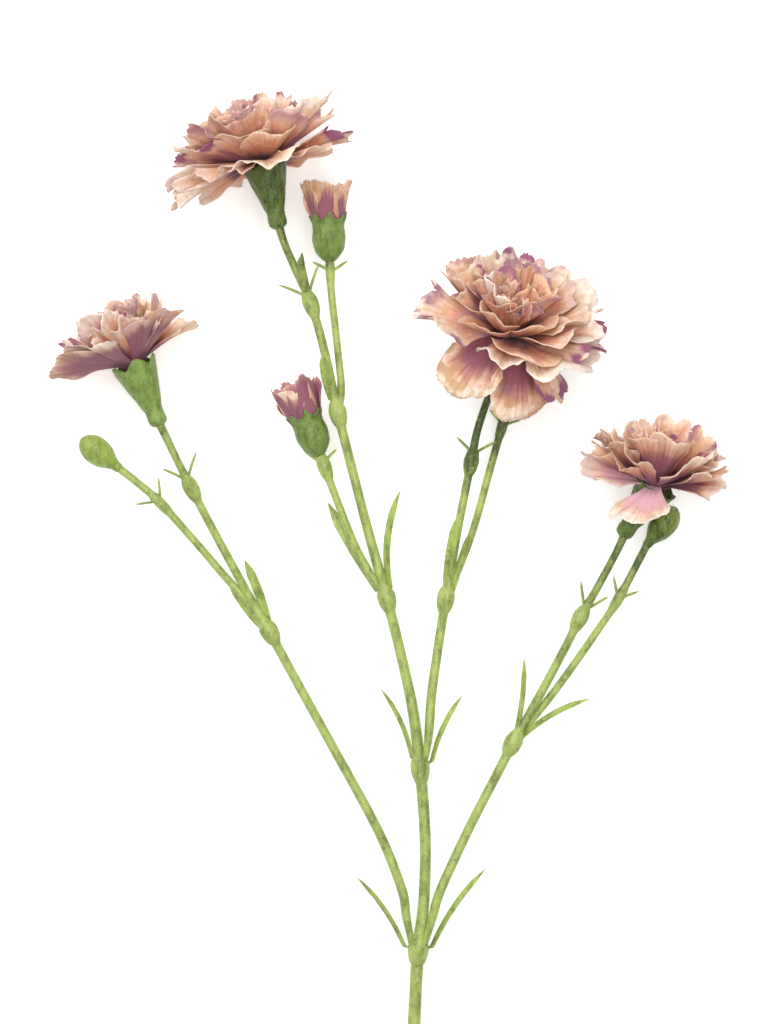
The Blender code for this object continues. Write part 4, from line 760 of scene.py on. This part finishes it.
def petal_specs(flower):
    """Every petal of a flower: the listed ones, then the rings with small seeded differences."""
    draw = random.Random(flower["seed"])
    specs = [dict(zip(PETAL_KEYS, row)) for row in flower["petals"]]
    for count, first, spread, *values in flower["rings"]:
        for n in range(count):
            spec = dict(zip(PETAL_KEYS, (first + spread * n + draw.uniform(-12, 12), *values)))
            spec["length"] *= draw.uniform(0.93, 1.03)
            spec["fan"] *= draw.uniform(0.9, 1.12)
            opening = draw.uniform(-8, 8)
            for key in ("foot", "tip", "lip"):
                spec[key] += opening + draw.uniform(-5, 5)
            spec["lean"] += draw.uniform(-10, 10)
            spec["twist"] += draw.uniform(-22, 22)
            spec["tone"] += draw.uniform(-0.2, 0.2)
            spec["mauve"] *= draw.uniform(0.7, 1.2)
            spec["blotch"] *= draw.uniform(0.0, 1.6)
            specs.append(spec)
    for n, spec in enumerate(specs):
        spec["phases"] = [draw.uniform(0, math.tau) for _ in range(5)]
        spec["waves"] = (draw.uniform(1.5, 2.7) * math.pi, draw.uniform(5.0, 8.0) * math.pi)
        spec["notches"] = [draw.uniform(0.2, 1.1) for _ in range(PETAL_COLUMNS + 1)]
        spec["roll"] = draw.uniform(14, 34) * (-1 if draw.random() < 0.5 else 1)
        spec["tan"] = 1.0 if spec["tone"] < 0 else 0.7 * draw.random()
        spec["pleat"] = draw.uniform(0.1, 0.7)
        spec["layer"] = 0.25 + 0.11 * n
    return specs


def petal_point(spec, throat, across, along):
    """A point of the petal's middle surface in the flower's frame, as its grid's place across and along."""
    p, q, r, w, u = spec["phases"]
    share = along**0.85
    column = round((across + 1) / 2 * PETAL_COLUMNS)
    notch = spec["teeth"] * spec["notches"][column] * (1.0 if column % 2 else 0.1)
    length = spec["length"]
    # The limb ends in a round, uneven edge, with fine teeth on it and a few deeper cuts between its lobes.
    edge = 1 - 0.10 * across**2 - 0.17 * across**6 - 0.03 * (1 + math.sin(4.2 * across + r))
    edge -= notch / length * ease(0.9, 1.0, along)
    cuts = abs(math.sin(spec["waves"][0] * 0.8 * across + w)) ** 5
    edge -= 0.09 * spec["teeth"] * cuts * ease(0.55, 1.0, along)
    run = length * share * edge
    swing = across * math.radians(spec["fan"]) * (0.35 + 0.65 * share)
    ahead, aside = run * math.cos(swing), run * math.sin(swing) + 1.3 * across * (1 - share)
    aside += math.tan(math.radians(spec["lean"])) * max(0.0, ahead - 0.3 * length)
    # The claw rises inside the calyx and over its rim, and the limb opens from there.
    claw = max(1.0, -RIM_UNDER - spec["root"])
    lip = spec["lip"] + spec["roll"] * math.sin(2.6 * across + u)
    angles = [math.radians(a) for a in (CLAW_OPENING, CLAW_OPENING, spec["foot"], spec["tip"], lip)]
    ends = [0.0, claw, claw + 0.14 * length, 0.8 * length, length]
    # It opens out section by section: the claw, the bend over the rim, the limb and its lip.
    rise = out = 0.0
    here = angles[0]
    for i in range(4):
        if ahead <= ends[i]:
            break
        span = ends[i + 1] - ends[i]
        gone = min(ahead - ends[i], span)
        more_rise, more_out = arc(angles[i], angles[i + 1], span, gone)
        rise, out = rise + more_rise, out + more_out
        here = angles[i] + (angles[i + 1] - angles[i]) * gone / span
    # The cloth is ruffled across: long waves, pressed pleats, and two sets of fine crumples.
    ruffle = spec["ruffle"] * (1 + 0.4 * spec["teeth"])
    wave = ruffle * share**2 * math.sin(spec["waves"][0] * across + p)
    pleats = abs(math.sin(spec["waves"][1] * across / 2 + q)) ** 0.8 - 0.6
    wave += spec["pleat"] * ruffle * share**3 * pleats
    wave += 0.1 * ruffle * share**2 * math.sin(9 * across + 5 * share + u)
    wave += 0.07 * share * math.sin(15 * across + w)
    cup = spec["cup"] * length * share * across**2
    twist = math.radians(spec["twist"]) * share
    lift = wave + cup + aside * math.sin(twist)
    aside *= math.cos(twist)
    radial = throat + out - lift * math.cos(here)
    height = spec["root"] + rise + lift * math.sin(here)
    # The petal stands at its azimuth, flat or wrapped round the flower's axis.
    azimuth = math.radians(spec["azimuth"])
    toward = Vector((-math.sin(azimuth), math.cos(azimuth), 0.0))
    beside = Vector((-math.cos(azimuth), -math.sin(azimuth), 0.0))
    flat = toward * radial + beside * aside
    bent = aside / max(radial, 3.0)
    round_it = (toward * math.cos(bent) + beside * math.sin(bent)) * radial
    return flat.lerp(round_it, spec["wrap"]) + Vector((0.0, 0.0, height))


def laid_on_table(place, forward, floor):
    """Bends what would reach under the table forward along it, with its length kept."""
    under = floor + BEND_RADIUS - place.z
    if under <= 0:
        return place
    turn = min(under / BEND_RADIUS, math.pi / 2)
    slide = BEND_RADIUS * (1 - math.cos(turn)) + max(0.0, under - BEND_RADIUS * math.pi / 2)
    level = floor + BEND_RADIUS * (1 - math.sin(turn))
    return Vector((place.x + forward.x * slide, place.y + forward.y * slide, level))


def build_corolla(name, flower, material, wall):
    """All the petals of a flower, each in its own layer where they lie on the table."""
    matrix = corolla_matrix(flower)
    forward = direction(*flower["heading"])
    forward = Vector((forward.x, forward.y)).normalized()
    bm = new_shape()
    for spec in petal_specs(flower):

        def place(across, along, spec=spec):
            point = matrix @ petal_point(spec, flower["throat"], across, along)
            return laid_on_table(point, forward, spec["layer"])

        tone = (min(1.0, abs(spec["tone"])), spec["mauve"], spec["blotch"], spec["tan"])
        add_sheet(bm, PETAL_COLUMNS, PETAL_ROWS, place, tone=tone)
    make_piece(name + "_petals_cloth", bm, material, name + "_petals", wall)


# ---- Materials


def petal_cloth(colours):
    """Pressed polyester cloth, airbrushed: matt, soft, lit through where thin, with fine pressed veins, and
    painted shade at the petals' feet and in the veins' furrows.
    """
    material, shader = new_material(
        "airbrushed_polyester_cloth",
        Roughness=0.78, IOR=1.46, Subsurface_Weight=0.15, Subsurface_Scale=0.0009,
        Subsurface_Radius=(1.0, 0.5, 0.35), Sheen_Weight=0.1, Sheen_Roughness=0.5, Specular_IOR_Level=0.3,
    )
    place = add_node(material, "ShaderNodeTexCoord")
    axes = add_node(material, "ShaderNodeSeparateXYZ", Vector=(place, "UV"))
    tone = add_node(material, "ShaderNodeAttribute", {"attribute_name": "tone"})
    tones = add_node(material, "ShaderNodeSeparateColor", Color=tone)
    cloud = add_cloud(material, (place, "Object"), (120.0, 120.0, 120.0), 3.0)
    puff = add_cloud(material, (place, "Object"), (230.0, 230.0, 230.0), 4.0)
    scrap = add_cloud(material, (place, "Object"), (330.0, 330.0, 330.0), 2.0)
    # Veins run from the foot to the edge, about 0.8 mm apart at the edge, and pleats some 3 mm apart.
    vein = add_cloud(material, (place, "UV"), (38.0, 2.0, 1.0), 2.0)
    pleat = add_cloud(material, (place, "UV"), (9.0, 0.9, 1.0), 1.0)
    # The spray follows the petal from foot to edge, and each pattern pushes it a little up or down.
    along = (axes, "Y")
    for pattern, share in ((cloud, 0.34), (vein, 0.12), (pleat, 0.26)):
        push = add_node(
            material, "ShaderNodeMath", {"operation": "MULTIPLY_ADD"}, i0=pattern, i1=share, i2=-share / 2
        )
        along = add_node(material, "ShaderNodeMath", {"operation": "ADD"}, i0=along, i1=push)
    warm_keys = ("rust_and_shade", "coral", "peach", "cream")
    pale_keys = ("coral", "peach", "cream", "ivory")
    warm_stops = zip((0.36, 0.6, 0.82, 0.96), (colours[key] for key in warm_keys))
    pale_stops = zip((0.34, 0.54, 0.74, 0.92), (colours[key] for key in pale_keys))
    # On the warm petals the ramp starts in rust at the foot: painted shade in the flower's middle.
    warm = add_node(material, "ShaderNodeValToRGB", stops=list(warm_stops), Fac=along)
    pale = add_node(material, "ShaderNodeValToRGB", stops=list(pale_stops), Fac=along)
    body = add_node(material, "ShaderNodeMix", {"data_type": "RGBA"}, i0=(tones, "Red"), i6=warm, i7=pale)
    # The spray misses scraps some 3 mm wide, which stay pale, and is laid twice on others.
    body = add_coat(material, body, colours["ivory"], scrap, 0.54, 0.7, 0.25)
    body = add_coat(material, body, colours["rust_and_shade"], scrap, 0.47, 0.32, 0.22)
    # Some petals are sprayed tan and others pink, in clouds some 5 mm wide.
    tan = add_node(material, "ShaderNodeMath", {"operation": "MULTIPLY"}, i0=(tone, "Alpha"), i1=0.85)
    body = add_coat(material, body, colours["tan"], puff, 0.42, 0.62, tan)
    body = add_coat(material, body, colours["pink"], puff, 0.5, 0.34, 0.35)
    # Mauve climbs from the foot as far as the petal's own share says, and is lilac on the palest petals.
    climb = add_node(material, "ShaderNodeMath", {"operation": "SUBTRACT"}, i0=along, i1=(tones, "Green"))
    dye = add_coat(material, colours["mauve"], colours["lilac"], (tones, "Red"), 0.88, 1.0, 1.0)
    body = add_coat(material, body, dye, climb, 0.2, -0.14, 1.0)
    # Painted shade: the very foot, deep in the flower between the petals, is a dark red-brown, less so where
    # mauve climbs high.
    held = add_rise(material, (tones, "Green"), 0.5, 0.66, 0.65)
    foot = add_rise(material, along, 0.52, 0.24, 0.9)
    foot = add_node(material, "ShaderNodeMath", {"operation": "SUBTRACT"}, i0=foot, i1=held)
    body = add_node(material, "ShaderNodeMix", {"data_type": "RGBA"}, i0=foot, i6=body, i7=colours["plum"])
    # Purple sits on the edges of some petals, in patches some 8 mm wide.
    edge = add_rise(material, along, 0.76, 1.0, (tones, "Blue"))
    body = add_coat(material, body, colours["purple"], cloud, 0.42, 0.56, edge)
    # The veins' furrows are darkened with rust: painted shade where the relief dips.
    body = add_coat(material, body, colours["rust_and_shade"], vein, 0.5, 0.3, 0.22, "MULTIPLY")
    dress(material, shader, body, vein, 0.35)
    return material


def moulded_green(name, light, dark, pale, mottle_mm, roughness, mottling):
    """Moulded polyethylene, sprayed a second green: waxy, with soft clouds, dark specks, and pale flecks that are
    painted highlights on small lumps.
    """
    material, shader = new_material(
        name, Roughness=roughness, IOR=1.5, Subsurface_Weight=0.1, Subsurface_Scale=0.0015,
        Subsurface_Radius=(0.6, 1.0, 0.3), Specular_IOR_Level=0.4,
    )
    light, dark, pale = [(*colour, 1.0) for colour in (light, dark, pale)]
    place = add_node(material, "ShaderNodeTexCoord")
    # The clouds are longer up the stems, and the specks a quarter of their width.
    cells = 1000.0 / mottle_mm
    clouds = add_cloud(material, (place, "Object"), (cells, cells * 0.45, cells), 5.0)
    specks = add_cloud(material, (place, "Object"), (cells * 4, cells * 3, cells * 4), 2.0)
    # The depth attribute holds each green's darkness, with painted shade on the stalks and calyxes under the
    # blooms.
    total = (add_node(material, "ShaderNodeAttribute", {"attribute_name": "depth"}), "Fac")
    sprays = ((clouds, 0.38, 0.72, mottling), (specks, 0.52, 0.75, 0.6 * mottling))
    for pattern, start, full, share in sprays:
        cover = add_rise(material, pattern, start, full, share)
        total = add_node(material, "ShaderNodeMath", {"operation": "ADD"}, i0=cover, i1=total)
    body = add_node(material, "ShaderNodeMix", {"data_type": "RGBA"}, i0=total, i6=light, i7=dark)
    # Painted highlights: pale flecks where the specks run low, as glints on small lumps.
    body = add_coat(material, body, pale, specks, 0.44, 0.3, 0.5 * mottling)
    dress(material, shader, body, clouds, 0.4)
    return material


# ---- Settings


def colour_property(name, code, description):
    return bpy.props.FloatVectorProperty(
        name=name, description=description, default=linear(code), size=3, min=0.0, max=1.0, subtype="COLOR"
    )


class CarnationGreens(bpy.types.PropertyGroup):
    stem_light: colour_property("Stem light", "#ABBC66", "The stems' light yellow-green")
    # The dark greens serve twice: as mottling, and as the painted shade on the stalks and calyxes under the
    # blooms.
    stem_mottle_and_shade: colour_property("Stem dark", "#445620", "The mottling on the stems")
    calyx_light: colour_property("Calyx light", "#86A04E", "The calyxes' light green")
    calyx_dark: colour_property("Calyx dark", "#374719", "The calyxes' dark green")
    bud_light: colour_property("Bud light", "#A3B955", "The closed buds' light green")
    bud_dark: colour_property("Bud dark", "#42541F", "The closed buds' dark green")
    # The fleck colour is painted highlights on small lumps of the moulding.
    highlight_fleck: colour_property("Fleck", "#CBD38C", "The pale flecks where the second green has missed")


class CarnationPetals(bpy.types.PropertyGroup):
    coral: colour_property("Coral", "#C67B5C", "The warm colour of the petals' middles")
    peach: colour_property("Peach", "#D89E7E", "The commonest colour of the petals")
    cream: colour_property("Cream", "#E6C3A2", "The pale colour of the outer parts")
    ivory: colour_property("Ivory", "#FCEEDF", "The palest colour, on the toothed edges")
    tan: colour_property("Tan", "#C39A72", "The clouds on the tan petals")
    pink: colour_property("Pink", "#D08C82", "The clouds between the tan ones")
    # Rust is also painted shade, in the petals' middles and in the veins' furrows.
    rust_and_shade: colour_property("Rust", "#A8654A", "The veins and the shaded middles")
    mauve: colour_property("Mauve", "#935D6B", "The colour that climbs from the petals' feet")
    lilac: colour_property("Lilac", "#E2B4C0", "The mauve where the petal is pale")
    # Plum is painted shade, deep in the flower at the petals' feet.
    plum: colour_property("Plum", "#5E2C30", "The deepest colour, at the petals' feet")
    purple: colour_property("Purple", "#925A76", "The patches on some petals' edges")


class CarnationWalls(bpy.types.PropertyGroup):
    petal: bpy.props.FloatProperty(
        name="Petal", description="Thickness of the petals' cloth", default=0.00018, unit="LENGTH"
    )
    calyx: bpy.props.FloatProperty(
        name="Calyx", description="Thickness of the calyx cups", default=0.0005, unit="LENGTH"
    )


class CarnationStage(bpy.types.PropertyGroup):
    floor_colour: colour_property("Floor", "#F4F4F2", "The plain floor")
    camera_height: bpy.props.FloatProperty(
        name="Camera height", description="Height of the camera over the table", default=0.896, unit="LENGTH"
    )
    key_power: bpy.props.FloatProperty(
        name="Key light", description="Power of the large light past the blooms", default=11.0, unit="POWER"
    )
    sky: bpy.props.FloatProperty(
        name="Fill", description="Strength of the even light all round", default=0.42, min=0.0
    )


# ---- Operators


class CARNATION_OT_stems(bpy.types.Operator):
    """Moulds the leafy stems"""

    bl_idname = "carnation.stems"
    bl_label = "Leafy Stems"

    def execute(self, context):
        greens = context.scene.carnation_greens
        material = moulded_green(
            "mottled_stem_polyethylene", greens.stem_light, greens.stem_mottle_and_shade, greens.highlight_fleck,
            mottle_mm=2.6, roughness=0.42, mottling=0.52,
        )
        for name, axes in LEAFY_STEMS.items():
            build_stem(name, axes, material)
        return {"FINISHED"}


class CARNATION_OT_calyxes(bpy.types.Operator):
    """Moulds the calyx cups under the flowers"""

    bl_idname = "carnation.calyxes"
    bl_label = "Calyxes"

    def execute(self, context):
        greens = context.scene.carnation_greens
        material = moulded_green(
            "mottled_calyx_polyethylene", greens.calyx_light, greens.calyx_dark, greens.highlight_fleck,
            mottle_mm=1.8, roughness=0.5, mottling=0.42,
        )
        for name, flower in FLOWERS.items():
            build_calyx(name, flower, material, context.scene.carnation_walls.calyx)
        return {"FINISHED"}


class CARNATION_OT_closed_buds(bpy.types.Operator):
    """Moulds the closed buds"""

    bl_idname = "carnation.closed_buds"
    bl_label = "Closed Buds"

    def execute(self, context):
        greens = context.scene.carnation_greens
        material = moulded_green(
            "waxy_bud_polyethylene", greens.bud_light, greens.bud_dark, greens.highlight_fleck,
            mottle_mm=2.4, roughness=0.4, mottling=0.45,
        )
        for name, bud in CLOSED_BUDS.items():
            build_closed_bud(name, bud, material)
        return {"FINISHED"}


class CARNATION_OT_flowers(bpy.types.Operator):
    """Presses the petals of the open blooms and of the opening buds"""

    bl_idname = "carnation.flowers"
    bl_label = "Flowers"

    def execute(self, context):
        petals = context.scene.carnation_petals
        material = petal_cloth({key: (*getattr(petals, key), 1.0) for key in petals.__annotations__})
        for name, flower in FLOWERS.items():
            build_corolla(name, flower, material, context.scene.carnation_walls.petal)
        return {"FINISHED"}


class CARNATION_OT_stage(bpy.types.Operator):
    """Lays a plain floor and sets soft lights and the camera"""

    bl_idname = "carnation.stage"
    bl_label = "Stage"

    def execute(self, context):
        stage = context.scene.carnation_stage
        bm = bmesh.new()
        bmesh.ops.create_grid(bm, x_segments=1, y_segments=1, size=6.0)
        mesh = bpy.data.meshes.new("floor")
        bm.to_mesh(mesh)
        bm.free()
        floor = bpy.data.objects.new("floor", mesh)
        context.scene.collection.objects.link(floor)
        # The board is lit a little from behind, as on a light table.
        material, _ = new_material(
            "matt_white_board", Base_Color=(*stage.floor_colour, 1.0), Roughness=0.9, Specular_IOR_Level=0.2,
            Emission_Strength=0.35,
        )
        mesh.materials.append(material)

        self.add_light(context, "key", stage.key_power, 1.0, Vector((-0.3, 0.7, 1.0)))
        self.add_light(context, "top", stage.key_power * 0.9, 0.8, Vector((0.15, 0.0, 1.5)))

        world = bpy.data.worlds.new("studio")
        world.use_nodes = True
        sky = world.node_tree.nodes["Background"]
        sky.inputs["Color"].default_value = (1.0, 1.0, 1.0, 1.0)
        sky.inputs["Strength"].default_value = stage.sky
        context.scene.world = world
        context.scene.view_settings.view_transform = "Standard"

        lens = bpy.data.cameras.new("camera")
        lens.lens = 100.0
        lens.sensor_width = 36.0
        lens.clip_start = 0.01
        camera = bpy.data.objects.new("camera", lens)
        context.scene.collection.objects.link(camera)
        middle = (Vector((-10.5, 134.2, 0.0)) - SPRAY_MIDDLE) * MM
        camera.location = (middle.x, middle.y, stage.camera_height)
        context.scene.camera = camera
        return {"FINISHED"}

    def add_light(self, context, name, power, size, place):
        lamp = bpy.data.lights.new(name, "AREA")
        lamp.energy = power
        lamp.size = size
        light = bpy.data.objects.new(name, lamp)
        context.scene.collection.objects.link(light)
        light.location = place
        light.rotation_euler = (Vector((0.0, 0.06, 0.0)) - place).to_track_quat("-Z", "Y").to_euler()


class CARNATION_PT_panel(bpy.types.Panel):
    """Shows the spray's settings and the buttons that build its pieces"""

    bl_idname = "CARNATION_PT_panel"
    bl_label = "Spray Carnation"
    bl_space_type = "VIEW_3D"
    bl_region_type = "UI"
    bl_category = "Carnation"

    def draw(self, context):
        layout = self.layout
        scene = context.scene
        for group, name in GROUPS.items():
            box = layout.box()
            for key in group.__annotations__:
                box.prop(getattr(scene, name), key)
        for operator in OPERATORS:
            layout.operator(operator.bl_idname)


OPERATORS = (
    CARNATION_OT_stems,
    CARNATION_OT_calyxes,
    CARNATION_OT_closed_buds,
    CARNATION_OT_flowers,
    CARNATION_OT_stage,
)
GROUPS = {
    CarnationGreens: "carnation_greens",
    CarnationPetals: "carnation_petals",
    CarnationWalls: "carnation_walls",
    CarnationStage: "carnation_stage",
}


def register():
    for cls in (*GROUPS, *OPERATORS, CARNATION_PT_panel):
        bpy.utils.register_class(cls)
    for group, name in GROUPS.items():
        setattr(bpy.types.Scene, name, bpy.props.PointerProperty(type=group))


def unregister():
    for name in GROUPS.values():
        delattr(bpy.types.Scene, name)
    for cls in reversed((*GROUPS, *OPERATORS, CARNATION_PT_panel)):
        bpy.utils.unregister_class(cls)


def main():
    register()
    bpy.ops.carnation.stems()
    bpy.ops.carnation.calyxes()
    bpy.ops.carnation.closed_buds()
    bpy.ops.carnation.flowers()
    bpy.ops.carnation.stage()


if __name__ == "__main__":
    main()
